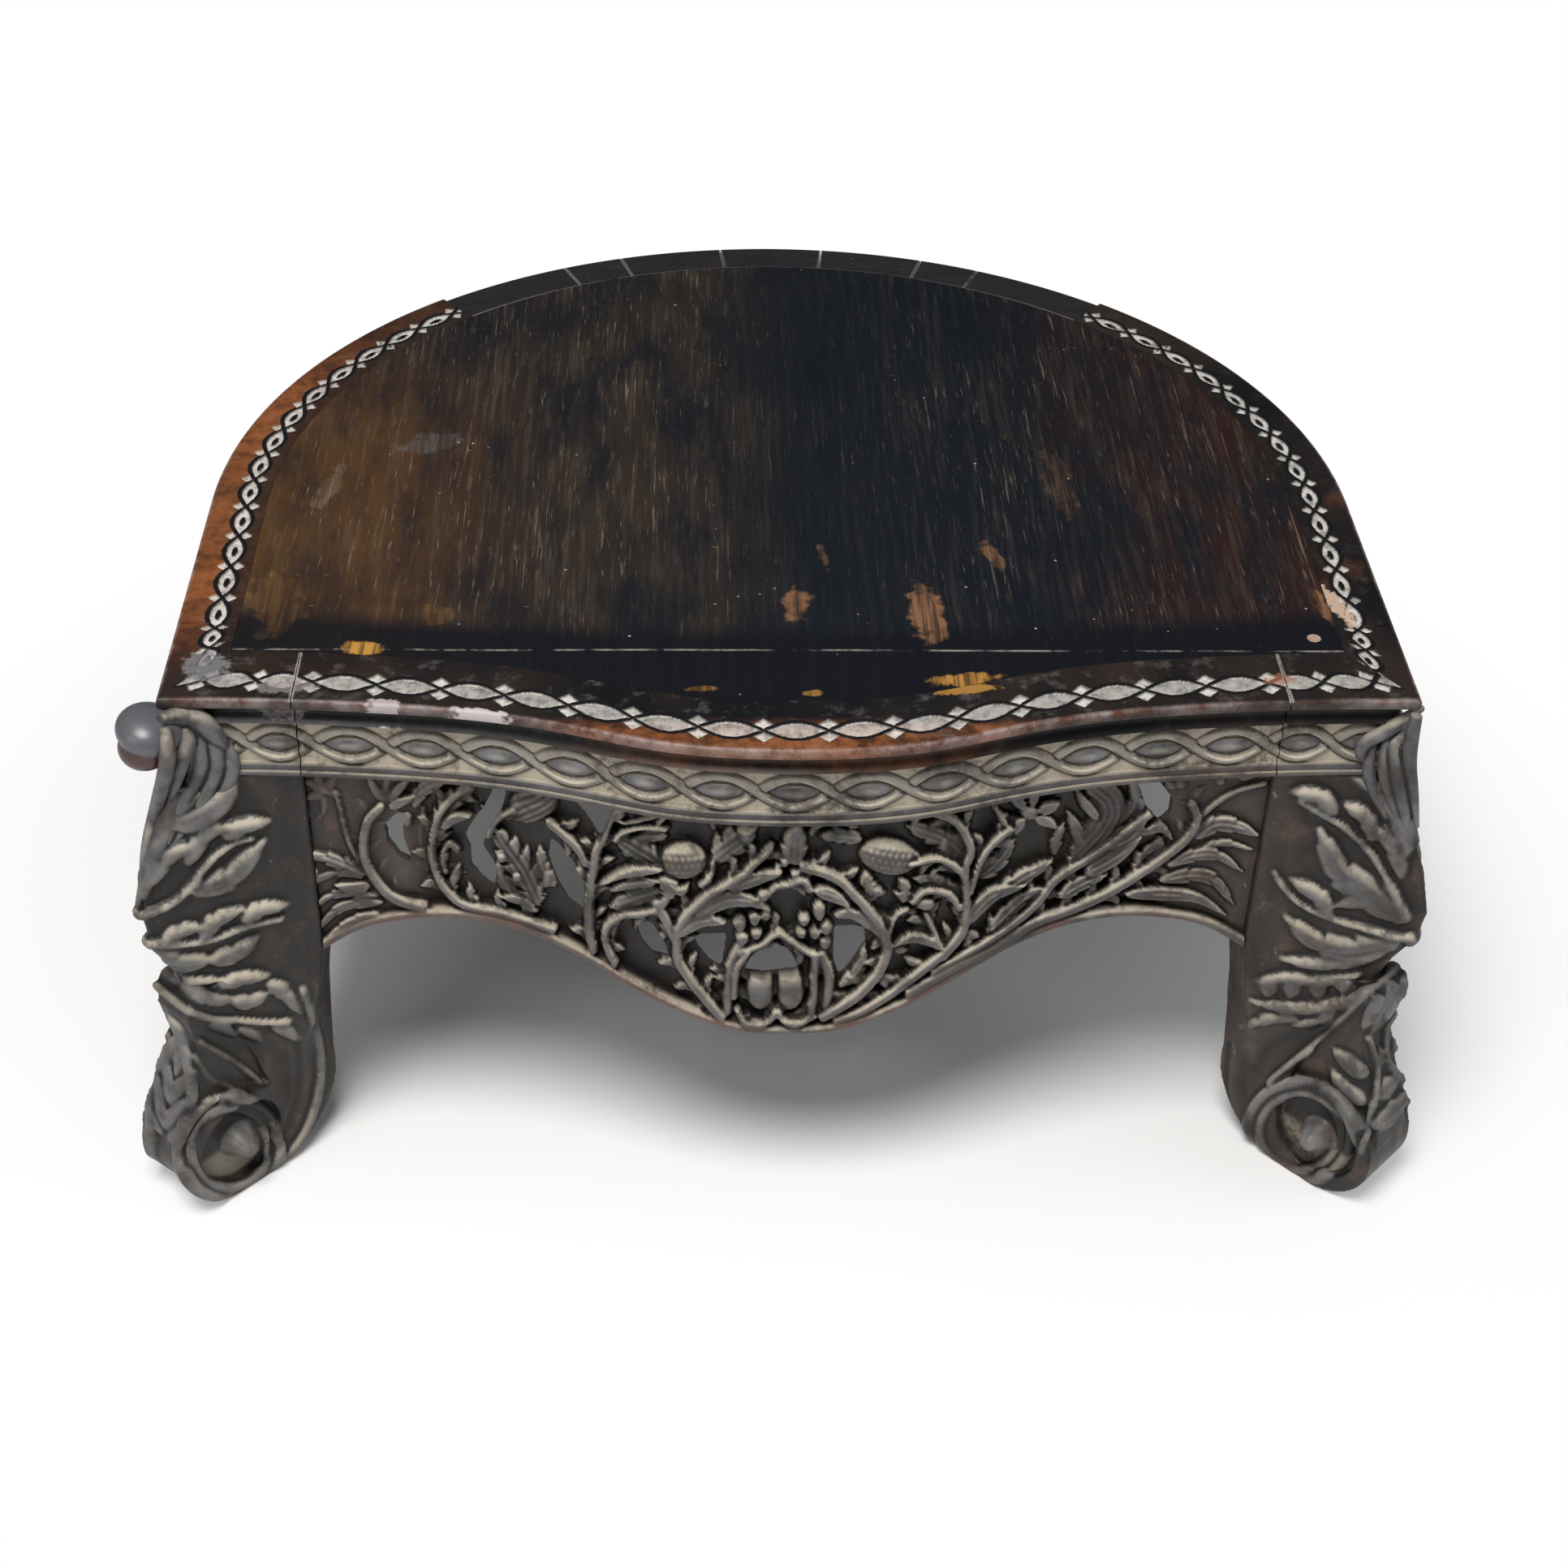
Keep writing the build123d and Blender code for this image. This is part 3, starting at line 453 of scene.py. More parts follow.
def frieze_member(name, start, end):
    """A length of frieze rail: woven links between fillets, and a bead along the bottom."""
    s = run_rows(start, end)
    inset = mm("rail_inset")
    bead = 3.0
    face_z = np.linspace(RIM_Z, RAIL_Z + bead, 52)
    relief, dust_and_highlight, edge, lines_and_shade = frieze_relief(s, face_z[None, :])
    turn = np.linspace(pi / 2, -pi / 2, 7)
    back = inset + mm("rail_thickness")
    pad = np.ones((len(s), 1))

    def section(face, bead_values, back_values):
        return np.concatenate([face, pad * bead_values, pad * [back_values]], 1)
    insets = section(inset - relief, inset - 1.5 * np.cos(turn), [back, back])
    z = section(pad * face_z, RAIL_Z + bead / 2 + bead / 2 * np.sin(turn), [RAIL_Z, RIM_Z])
    # The bead's edge values are a painted sheen on its front
    attributes = {
        "dust_and_highlight": section(dust_and_highlight, 0.6 * np.abs(np.sin(turn)) ** 4, [0, 0]),
        "edge": section(edge, 0.5 * np.cos(turn), [0, 0]),
        "lines_and_shade": section(lines_and_shade, 0 * turn, [0, 0])}
    return member(name, s, insets, insets, z, attributes)


# The view of the photograph, which also places the carving
FRAME_SIZE = 1932
FOCAL_PIXELS = 3138.5
VIEW_AZIMUTH = -2.6
VIEW_ELEVATION = 38.0
VIEW_ROLL = 1.6
VIEW_DISTANCE = 1446.8
VIEW_AIM = (2.8, 150.0 + CORNER_Y, 151.4)


def view_axes():
    """Camera place, right, up and forward directions, in millimetres."""
    azimuth = radians(VIEW_AZIMUTH)
    elevation = radians(VIEW_ELEVATION)
    forward = Vector((-sin(azimuth) * cos(elevation), cos(azimuth) * cos(elevation), -sin(elevation)))
    level = Vector((cos(azimuth), sin(azimuth), 0))
    upright = level.cross(forward)
    roll = radians(VIEW_ROLL)
    right = level * cos(roll) + upright * sin(roll)
    up = upright * cos(roll) - level * sin(roll)
    place = Vector(VIEW_AIM) - forward * VIEW_DISTANCE
    return place, right, up, forward


def sight(pixel):
    """The line of sight through a pixel of the photograph."""
    place, right, up, forward = view_axes()
    across = (pixel[0] - FRAME_SIZE / 2) / FOCAL_PIXELS
    above = (FRAME_SIZE / 2 - pixel[1]) / FOCAL_PIXELS
    return place, (forward + right * across + up * above).normalized()


# Relief carving: strokes drawn over the photograph, in its pixels, with heights in millimetres
def project(points):
    """Pixels of the photograph where points in millimetres appear."""
    place, right, up, forward = (np.array(v) for v in view_axes())
    offset = points - place
    depth = offset @ forward
    u = FRAME_SIZE / 2 + FOCAL_PIXELS * (offset @ right) / depth
    v = FRAME_SIZE / 2 - FOCAL_PIXELS * (offset @ up) / depth
    return np.stack([u, v], -1)


def soft_line(points, fineness=8):
    """A smooth line through given points."""
    points = np.array(points, float)
    if len(points) < 3:
        return points
    padded = np.concatenate([[2 * points[0] - points[1]], points, [2 * points[-1] - points[-2]]])
    line = []
    for a, b, c, d in zip(padded, padded[1:], padded[2:], padded[3:]):
        for t in np.arange(fineness) / fineness:
            line.append(0.5 * (2 * b + (c - a) * t + (2 * a - 5 * b + 4 * c - d) * t ** 2
                               + (3 * b - a - 3 * c + d) * t ** 3))
    return np.array(line + [points[-1]])


# Size of a pixel on the stool's front, in millimetres
PIXEL_MM = 0.48


def dome(x, radii, share=1.0):
    """How far below its top an oval boss lies, in millimetres, from the squared distance in radii."""
    return min(radii) * PIXEL_MM * share * (1 - np.sqrt(np.clip(1 - x, 0, 1)))


class Relief:
    """Heights of carving at pixels, over a ground that may itself vary."""

    def __init__(self, pixels, ground, spread=1.0):
        self.pixels = pixels
        self.height = np.zeros(len(pixels)) + ground
        self.shadow = np.zeros(len(pixels))
        self.spread = spread

    def along(self, points, margin):
        """Pixels near a smooth line: their indices, share of its length and signed distance from it."""
        line = soft_line(points)
        low = line.min(0) - margin
        high = line.max(0) + margin
        near = np.nonzero(((self.pixels > low) & (self.pixels < high)).all(1))[0]
        start = line[:-1]
        run = np.diff(line, axis=0)
        lengths = np.maximum(np.hypot(*run.T), 1e-6)
        offset = self.pixels[near][:, None] - start
        share = np.clip((offset * run).sum(-1) / lengths ** 2, 0, 1)
        gap = offset - share[..., None] * run
        distance = np.hypot(gap[..., 0], gap[..., 1])
        best = distance.argmin(1)
        rows = np.arange(len(near))
        side = np.sign(run[best, 0] * offset[rows, best, 1] - run[best, 1] * offset[rows, best, 0])
        before = np.concatenate([[0], np.cumsum(lengths)])
        reached = (before[best] + share[rows, best] * lengths[best]) / before[-1]
        return near, reached, side * distance[rows, best]

    def lift(self, near, value, inside):
        """Raise pixels inside a stroke to its surface."""
        chosen = near[inside]
        self.height[chosen] = np.maximum(self.height[chosen], value[inside])

    def stem(self, points, width, top, taper=0.35):
        """A round stem that thins towards its end."""
        near, t, d = self.along(points, width)
        half = width / 2 * (1 - taper * t)
        x = np.abs(d) / half
        value = top - half * PIXEL_MM * (1 - np.sqrt(np.clip(1 - x ** 2, 0, 1)))
        self.lift(near, value, x < 1)

    def leaf(self, points, width, top, lobes=0, cut=0.3, hollow=0.0, tip=0.0):
        """A leaf along its midrib: lobed edges, a raised rib, and a rise or fall towards its tip."""
        width = width * self.spread
        near, t, d = self.along(points, width)
        swell = np.sin(pi * np.clip(t, 0, 1) ** 0.72) ** 0.62
        half = width / 2 * np.maximum(swell, 0.12)
        x = np.abs(d) / half
        phase = lobes * (t - 0.22 * x * (1 - t)) + 0.3
        notch = (phase % 1.0) if lobes else 1.0
        edge = 1 - cut * (1 - notch) ** 1.5 if lobes else 1.0
        x = x / edge
        body = np.sqrt(np.clip(1 - x ** 2.4, 0, 1))
        crease = np.exp(-((np.abs(d) - 1.3) / 1.1) ** 2) * 0.55
        rib = np.exp(-(d / 1.3) ** 2) * 0.5
        furrow = np.exp(-((notch - 0.04) / 0.10) ** 2) * np.clip(x, 0, 1) * 1.0 if lobes else 0.0
        round_drop = half * PIXEL_MM * 0.55 * (1 - body)
        veins = 0.45 * np.cos(2 * pi * np.abs(d) / 8.0) * np.clip(1.1 - x, 0, 1) * (half > 8)
        value = top + tip * t ** 2 - round_drop - hollow * (1 - x) - crease + rib - furrow + veins
        self.lift(near, value, x < 1)

    def bead(self, centre, radii, top, turn=0.0):
        """A round or oval boss."""
        _, _, x = self.oval(centre, radii, turn)
        self.lift(np.arange(len(x)), top - dome(x, radii), x < 1)

    def oval(self, centre, radii, turn):
        """Coordinates about an oval and the square of the distance in radii."""
        offset = self.pixels - centre
        c = cos(radians(turn))
        s = sin(radians(turn))
        u = offset[:, 0] * c + offset[:, 1] * s
        v = offset[:, 1] * c - offset[:, 0] * s
        return u, v, (u / radii[0]) ** 2 + (v / radii[1]) ** 2

    def scales(self, centre, radii, top, pitch=7.0, turn=0.0):
        """A flower head covered with overlapping scales."""
        u, v, x = self.oval(centre, radii, turn)
        row = np.floor(v / pitch)
        across = (u / pitch + 0.5 * (row % 2)) % 1 - 0.5
        down = (v / pitch) % 1
        scale = np.clip(1 - (across * 2) ** 2 - (down - 0.35) ** 2 * 2, 0, 1)
        value = top - dome(x, radii, 0.8) + 0.9 * scale - 0.9
        self.lift(np.arange(len(u)), value, x < 1)

    def ribs(self, centre, radii, top, pitch=8.0, turn=0.0):
        """A flower head with slanting ribs."""
        u, v, x = self.oval(centre, radii, turn)
        wave = 0.5 + 0.5 * np.cos(2 * pi * (v + 0.12 * u * np.abs(u) / radii[0]) / pitch)
        value = top - dome(x, radii, 0.8) - 1.3 * (1 - wave)
        self.lift(np.arange(len(u)), value, x < 1)

    def groove(self, points, width, depth):
        """A cut along a line."""
        near, _, d = self.along(points, width)
        self.height[near] -= depth * np.exp(-(d / (width / 2)) ** 2)

    def dark(self, points, width, share):
        """Painted shadow: a hollow kept black along a line."""
        near, _, d = self.along(points, width)
        self.shadow[near] = np.maximum(self.shadow[near], share * np.exp(-(d / (width / 2)) ** 2))

    def ring(self, centre, radii, width, top, turn=0.0):
        """A raised ring."""
        _, _, x = self.oval(centre, radii, turn)
        d = np.abs(np.sqrt(x) - 1) * min(radii) / (width / 2)
        value = top * np.sqrt(np.clip(1 - d ** 2, 0, 1))
        self.lift(np.arange(len(x)), value, d < 1)

    def sprigs(self, strokes, step, reach, width, drop):
        """Small low leaves beside the stems, filling the ground between them."""
        for kind, points, _, top, *_ in strokes:
            if kind != "stem":
                continue
            line = soft_line(points)
            before = np.concatenate([[0], np.cumsum(np.hypot(*np.diff(line, axis=0).T))])
            for i, at in enumerate(np.arange(step / 2, before[-1] - 4, step)):
                start, ahead = (np.array([np.interp(at + d, before, line[:, k]) for k in (0, 1)]) for d in (0, 3))
                run = (ahead - start) / max(np.hypot(*(ahead - start)), 1e-6)
                aside = np.array([-run[1], run[0]]) * (1 if i % 2 else -1)
                bend = start + reach * (0.45 * run + 0.30 * aside)
                tip = start + reach * (0.65 * run + 0.80 * aside)
                self.leaf((start, bend, tip), width, top - drop, 2, 0.25)

    def draw(self, strokes):
        """Cut a list of strokes, each a kind of stroke and its measures."""
        for kind, *measures in strokes:
            getattr(self, kind)(*measures)


def polygon_distance(points, polygon):
    """Distance from points to a polygon, negative inside it."""
    start = np.array(polygon, float)
    run = np.roll(start, -1, axis=0) - start
    offset = points[:, None] - start
    share = np.clip((offset * run).sum(-1) / (run ** 2).sum(-1), 0, 1)
    gap = offset - share[..., None] * run
    distance = np.hypot(gap[..., 0], gap[..., 1]).min(1)
    low = start[:, 1]
    high = low + run[:, 1]
    height = points[:, 1:2]
    crosses = (low <= height) != (high <= height)
    slope = run[:, 0] / np.where(run[:, 1] == 0, 1e-9, run[:, 1])
    left_of = points[:, 0:1] < start[:, 0] + (height - low) * slope
    inside = (crosses & left_of).sum(1) % 2 == 1
    return np.where(inside, -1, 1) * distance


# Foliage of the front apron from left to right: a kind of stroke of Relief and what it takes
LEFT_FOLIAGE = (
    ("stem", ((520, 1121), (481, 1106), (455, 1075), (447, 1045), (453, 1014), (468, 997)), 15, 0.5, 0.2),
    ("stem", ((441, 1064), (427, 1036), (418, 1001), (412, 980)), 8, -2.0),
    ("stem", ((681, 1149), (620, 1129), (568, 1116), (540, 1086), (531, 1049), (538, 1014), (555, 988),
              (581, 971)), 12, 0.0),
    ("stem", ((731, 1172), (725, 1136), (728, 1096), (734, 1056), (745, 1029), (754, 1005)), 14, 1.0, 0.2),
    ("stem", ((676, 1016), (692, 1030), (708, 1044), (722, 1066)), 11, 0.0, 0.0),
    ("stem", ((601, 1034), (606, 1022), (616, 1010), (633, 1001)), 8, -1.0, 0.0),
    ("leaf", ((538, 1034), (549, 1000), (569, 980), (590, 966)), 26, -2.5, 3, 0.25),
    ("leaf", ((545, 1023), (558, 1011), (581, 1007)), 12, 1.0),
    ("leaf", ((449, 1080), (410, 1063), (371, 1053)), 17, -1.0, 3, 0.3),
    ("leaf", ((447, 1084), (414, 1078), (371, 1096)), 11, -2.0, 2, 0.3),
    ("bead", (382, 1079), (10, 7), -1.0),
    ("leaf", ((456, 1093), (434, 1096), (412, 1093)), 13, -0.5),
    ("leaf", ((466, 1106), (414, 1104), (380, 1124)), 12, -1.5, 3, 0.3),
    ("leaf", ((472, 1114), (421, 1120), (386, 1153)), 13, -1.0, 3, 0.2),
    ("leaf", ((466, 1127), (432, 1139), (396, 1163)), 12, -0.5, 3, 0.2),
    ("leaf", ((396, 978), (384, 970), (371, 966)), 11, -3.0),
    ("leaf", ((396, 976), (392, 966), (386, 958)), 10, -3.0),
    ("leaf", ((400, 976), (406, 968), (412, 960)), 11, -3.0),
    ("leaf", ((402, 980), (410, 980), (418, 982)), 10, -3.0),
    ("leaf", ((396, 981), (386, 984), (374, 988)), 11, -3.0),
    ("leaf", ((398, 984), (398, 996), (396, 1008)), 9, -3.2),
    ("bead", (398, 977), (7, 6), -2.2),
    ("leaf", ((477, 994), (460, 975), (452, 960)), 11, -2.5),
    ("leaf", ((479, 990), (490, 976), (503, 964)), 11, -2.0),
    ("leaf", ((478, 997), (494, 991), (510, 983)), 11, -1.0),
    ("leaf", ((476, 986), (474, 972), (478, 960)), 9, -3.0),
    ("leaf", ((508, 998), (520, 977), (553, 963)), 19, -2.5, 3, 0.25),
    ("bead", (500, 1014), (7, 10), -3.0),
    ("leaf", ((526, 1080), (516, 1042), (520, 1000)), 24, -6.5, 3, 0.2),
    ("leaf", ((664, 1120), (642, 1075), (620, 1045), (608, 1024)), 44, -3.5, 5, 0.45),
    ("leaf", ((640, 1118), (618, 1090), (612, 1064)), 16, -5.0, 3, 0.3),
    ("leaf", ((662, 1128), (640, 1114), (614, 1108)), 12, -2.5, 2, 0.3),
    ("leaf", ((684, 1098), (668, 1078), (664, 1050)), 22, -5.0, 3, 0.3),
    ("bead", (673, 1088), (7, 12), -3.5),
    ("bead", (617, 1061), (6, 6), -1.5),
    ("bead", (636, 1084), (6, 6), -1.5),
    ("ribs", (657, 994), (33, 25), 1.5, 8.5, -22),
    ("stem", ((563, 1052), (552, 1044), (544, 1060), (548, 1080)), 9, -3.0),
    ("leaf", ((556, 1096), (560, 1084), (566, 1070)), 10, -4.0),
)

MIDDLE_FOLIAGE = (
    ("leaf", ((812, 1068), (782, 1050), (758, 1034)), 34, -2.5, 4, 0.25),
    ("leaf", ((816, 1073), (774, 1076), (736, 1093)), 11, 2.0),
    ("leaf", ((811, 1088), (778, 1090), (750, 1101)), 15, 0.0, 3, 0.15),
    ("leaf", ((812, 1100), (782, 1110), (752, 1122)), 30, -2.0, 3, 0.15),
    ("stem", ((806, 1124), (790, 1128), (769, 1130), (750, 1141), (745, 1162), (758, 1190)), 10, 1.0, 0.0),
    ("stem", ((820, 1024), (794, 1022), (768, 1028), (758, 1038)), 8, 0.5),
    ("stem", ((820, 1002), (800, 1010), (770, 1016), (756, 1010)), 8, -0.5),
    ("bead", (763, 1004), (8, 9), 0.5),
    ("bead", (781, 997), (8, 9), 0.5),
    ("leaf", ((822, 1036), (800, 1034), (776, 1044)), 16, -3.5, 2, 0.2),
    ("scales", (841, 1065), (32, 24), 2.0, 8.0, 0),
    ("leaf", ((812, 1082), (824, 1100), (812, 1124)), 20, -0.5, 3, 0.35),
    ("leaf", ((820, 1086), (838, 1100), (850, 1092)), 15, 0.0, 2, 0.3),
    ("stem", ((864, 1094), (876, 1084), (879, 1066)), 9, -1.5),
    ("stem", ((808, 1116), (823, 1141), (834, 1163)), 14, 0.0, 0.0),
    ("stem", ((812, 1016), (826, 1004), (850, 999), (876, 1004), (890, 1014)), 8, 0.5, 0.0),
    ("leaf", ((880, 1062), (900, 1046), (932, 1024)), 40, -2.5, 3, 0.3),
    ("bead", (919, 1032), (8, 9), 0.0),
    ("stem", ((889, 1256), (857, 1218), (836, 1186), (834, 1156), (836, 1144), (850, 1125), (876, 1103),
              (908, 1085), (930, 1067), (950, 1047)), 14, 1.0, 0.3),
    ("leaf", ((834, 1154), (863, 1136), (896, 1139)), 17, 1.0),
    ("leaf", ((858, 1130), (894, 1111), (926, 1112), (950, 1124)), 19, 1.0),
    ("leaf", ((898, 1096), (930, 1085), (964, 1077)), 17, 0.5),
    ("bead", (941, 1105), (9, 8), 1.5),
    ("bead", (912, 1141), (9, 10), 1.0),
    ("bead", (930, 1134), (8, 9), 1.5),
    ("bead", (944, 1130), (7, 7), 1.0),
    ("bead", (915, 1158), (9, 9), 1.0),
    ("bead", (932, 1152), (8, 8), 1.5),
    ("stem", ((914, 1166), (902, 1190), (898, 1219), (896, 1250)), 13, -1.0, 0.0),
    ("stem", ((922, 1176), (908, 1196), (905, 1230)), 9, 1.0, 0.0),
    ("stem", ((912, 1176), (936, 1168), (950, 1158), (960, 1152)), 9, 0.0, 0.0),
    ("stem", ((960, 1152), (972, 1160), (990, 1172), (1004, 1181)), 9, 0.0, 0.0),
    ("bead", (937, 1222), (19, 27), 2.2),
    ("bead", (974, 1222), (19, 27), 2.2),
    ("stem", ((908, 1246), (916, 1260), (934, 1264), (950, 1258), (956, 1248)), 8, 1.5, 0.0),
    ("stem", ((958, 1248), (966, 1260), (984, 1262), (1002, 1254)), 8, 1.5, 0.0),
    ("leaf", ((980, 1068), (979, 1046), (985, 1018)), 30, -0.5, 2, 0.15),
    ("bead", (967, 1066), (6, 6), 0.0),
    ("bead", (980, 1079), (7, 7), 1.0),
    ("stem", ((948, 1102), (956, 1094), (970, 1091), (990, 1086), (998, 1098)), 9, 2.0, 0.0),
    ("stem", ((990, 1070), (1029, 1083), (1058, 1110), (1083, 1141), (1094, 1172), (1081, 1203),
              (1052, 1232), (1014, 1255)), 14, 1.0, 0.0),
    ("leaf", ((1003, 1098), (1029, 1106), (1048, 1120)), 16, 1.0),
    ("leaf", ((1028, 1131), (1047, 1127), (1065, 1136), (1084, 1156)), 13, 0.5),
    ("leaf", ((1034, 1222), (1060, 1199), (1067, 1170)), 16, -4.0, 3, 0.3),
    ("bead", (991, 1136), (8, 8), 1.0),
    ("bead", (1010, 1124), (8, 14), 1.5),
    ("bead", (1018, 1146), (8, 9), 1.0),
    ("bead", (1004, 1152), (8, 8), 1.5),
    ("bead", (988, 1152), (7, 7), 1.0),
    ("bead", (1016, 1164), (7, 8), 0.5),
    ("stem", ((1004, 1178), (1004, 1208), (1000, 1250)), 10, 1.0, 0.0),
    ("stem", ((1012, 1180), (1022, 1208), (1018, 1242)), 14, -1.0, 0.0),
    ("scales", (1096, 1060), (38, 24), 1.5, 8.0, 8),
    ("leaf", ((1062, 1040), (1040, 1034), (1010, 1036)), 22, -3.0, 3, 0.3),
    ("stem", ((1000, 1030), (1010, 1020), (1030, 1016), (1056, 1022)), 7, -0.5),
    ("leaf", ((1066, 1078), (1072, 1096), (1092, 1106)), 18, -1.5, 3, 0.3),
    ("leaf", ((1110, 1086), (1116, 1100), (1112, 1118)), 14, -2.0, 2, 0.3),
)

RIGHT_FOLIAGE = (
    ("stem", ((1162, 1180), (1180, 1160), (1190, 1141), (1192, 1105), (1190, 1074), (1197, 1047), (1177, 1014),
              (1145, 1002)), 13, 0.5, 0.2),
    ("leaf", ((1196, 1062), (1160, 1036), (1120, 1024)), 36, -4.0, 4, 0.25),
    ("stem", ((1190, 1083), (1177, 1069), (1154, 1060), (1123, 1067)), 11, 1.0),
    ("stem", ((1182, 1119), (1168, 1103), (1141, 1100), (1125, 1114)), 11, 1.0),
    ("leaf", ((1180, 1108), (1156, 1092), (1126, 1088)), 22, -4.0, 3, 0.2),
    ("bead", (1141, 1116), (12, 9), 0.5),
    ("leaf", ((1162, 1172), (1146, 1162), (1124, 1158), (1100, 1168)), 12, 0.5),
    ("stem", ((1165, 1176), (1130, 1203), (1096, 1228), (1062, 1248), (1030, 1260)), 12, 0.5, 0.0),
    ("stem", ((1094, 1160), (1105, 1132), (1118, 1124)), 8, -1.0),
    ("stem", ((1159, 1166), (1150, 1148), (1141, 1130)), 8, -1.0),
    ("leaf", ((1150, 1150), (1134, 1140), (1118, 1140)), 16, -4.5, 2, 0.2),
    ("leaf", ((1190, 1140), (1222, 1106), (1264, 1092)), 15, 0.5),
    ("stem", ((1197, 1100), (1208, 1065), (1226, 1040), (1246, 1024)), 9, 0.5, 0.0),
    ("stem", ((1228, 1000), (1236, 1014), (1246, 1026)), 6, -1.0),
    ("leaf", ((1204, 1086), (1228, 1070), (1252, 1040)), 24, -4.5, 3, 0.25),
    ("stem", ((1150, 1200), (1230, 1155), (1275, 1119), (1304, 1085), (1335, 1065), (1368, 1043), (1400, 1018),
              (1420, 1005)), 10, 0.0, 0.0),
    ("stem", ((1120, 1226), (1180, 1192), (1230, 1168), (1275, 1139), (1319, 1123), (1364, 1103), (1404, 1079),
              (1438, 1056), (1464, 1034), (1476, 1012), (1470, 994)), 14, 1.0, 0.2),
    ("stem", ((1476, 1014), (1498, 994), (1525, 978), (1560, 968)), 9, -1.5),
    ("leaf", ((1222, 1150), (1262, 1112), (1296, 1096)), 17, -2.5, 3, 0.2),
    ("leaf", ((1226, 1106), (1261, 1085), (1298, 1064)), 17, -1.0, 3, 0.2),
    ("leaf", ((1306, 1108), (1337, 1090), (1366, 1080)), 17, -1.0, 3, 0.2),
    ("leaf", ((1338, 1078), (1377, 1056), (1408, 1033)), 18, 0.5),
    ("leaf", ((1368, 1046), (1396, 1032), (1415, 1008)), 16, 0.0),
    ("leaf", ((1330, 1062), (1366, 1020), (1368, 990), (1330, 962)), 44, -3.0, 2, 0.15),
    ("leaf", ((1354, 1012), (1342, 998), (1328, 978)), 12, -1.0),
    ("leaf", ((1342, 1054), (1330, 1030), (1318, 1006)), 17, -3.5),
    ("leaf", ((1380, 1020), (1400, 996), (1398, 968), (1378, 962)), 16, -4.0, 2, 0.2),
    ("leaf", ((1408, 1029), (1431, 1022), (1446, 1038)), 10, 0.0),
    ("leaf", ((1408, 1062), (1424, 1050), (1436, 1034)), 14, -4.0),
    ("leaf", ((1474, 1034), (1498, 1018), (1525, 1020), (1552, 1032)), 20, 0.0, 3, 0.2),
    ("leaf", ((1476, 1051), (1509, 1041), (1546, 1050)), 10, -1.5, 3, 0.3),
    ("leaf", ((1438, 1068), (1471, 1056), (1502, 1056), (1532, 1076)), 15, 0.0, 3, 0.2),
    ("leaf", ((1430, 1088), (1471, 1081), (1498, 1088), (1522, 1118)), 18, -1.5, 3, 0.2),
    ("leaf", ((1386, 1104), (1431, 1103), (1476, 1108), (1512, 1130)), 14, 0.5),
    ("bead", (1518, 953), (12, 11), -2.0),
    ("bead", (1506, 966), (7, 6), -2.5),
    ("leaf", ((1528, 962), (1542, 957), (1560, 952)), 12, -2.5),
    ("bead", (1444, 955), (10, 8), -2.5),
    ("bead", (1457, 968), (9, 9), -2.0),
    ("bead", (1470, 954), (9, 7), -3.0),
    ("bead", (1446, 972), (8, 6), -3.0),
    ("bead", (1270, 1004), (12, 10), -0.5),
    ("leaf", ((1266, 998), (1254, 990), (1244, 980)), 13, -1.5),
    ("leaf", ((1272, 996), (1276, 984), (1284, 974)), 13, -1.5),
    ("leaf", ((1280, 1002), (1296, 998), (1308, 992)), 13, -1.5),
    ("leaf", ((1276, 1012), (1292, 1016), (1304, 1024)), 13, -1.5),
    ("leaf", ((1264, 1012), (1256, 1022), (1252, 1032)), 12, -1.5),
    ("leaf", ((1300, 1058), (1306, 1036), (1314, 1018)), 14, -4.0, 2, 0.3),
)

# Openings of the front apron, round their edges
HOLES = (
    ((490, 999), (502, 998), (497, 1014), (499, 1032), (507, 1054), (494, 1047), (481, 1030), (477, 1012)),
    ((611, 967), (620, 967), (622, 978), (618, 993), (601, 1019), (594, 1040), (611, 1066), (610, 1088),
     (596, 1077), (583, 1062), (581, 1040), (575, 1027), (583, 1012), (601, 988)),
    ((680, 1033), (693, 1045), (709, 1065), (718, 1083), (720, 1118), (702, 1105), (689, 1083), (677, 1052)),
    ((709, 982), (756, 987), (749, 1007), (739, 1027), (729, 1009)),
    ((785, 1136), (801, 1136), (816, 1154), (822, 1174), (805, 1170), (792, 1156)),
    ((856, 1152), (894, 1150), (888, 1188), (874, 1179), (861, 1163)),
    ((916, 1191), (932, 1174), (948, 1167), (960, 1162), (972, 1172), (983, 1190), (940, 1195)),
    ((1029, 1141), (1063, 1141), (1065, 1156), (1047, 1183), (1034, 1197), (1028, 1181)),
    ((1398, 958), (1420, 954), (1429, 965), (1442, 980), (1438, 996), (1427, 1007), (1411, 989), (1406, 971)),
)


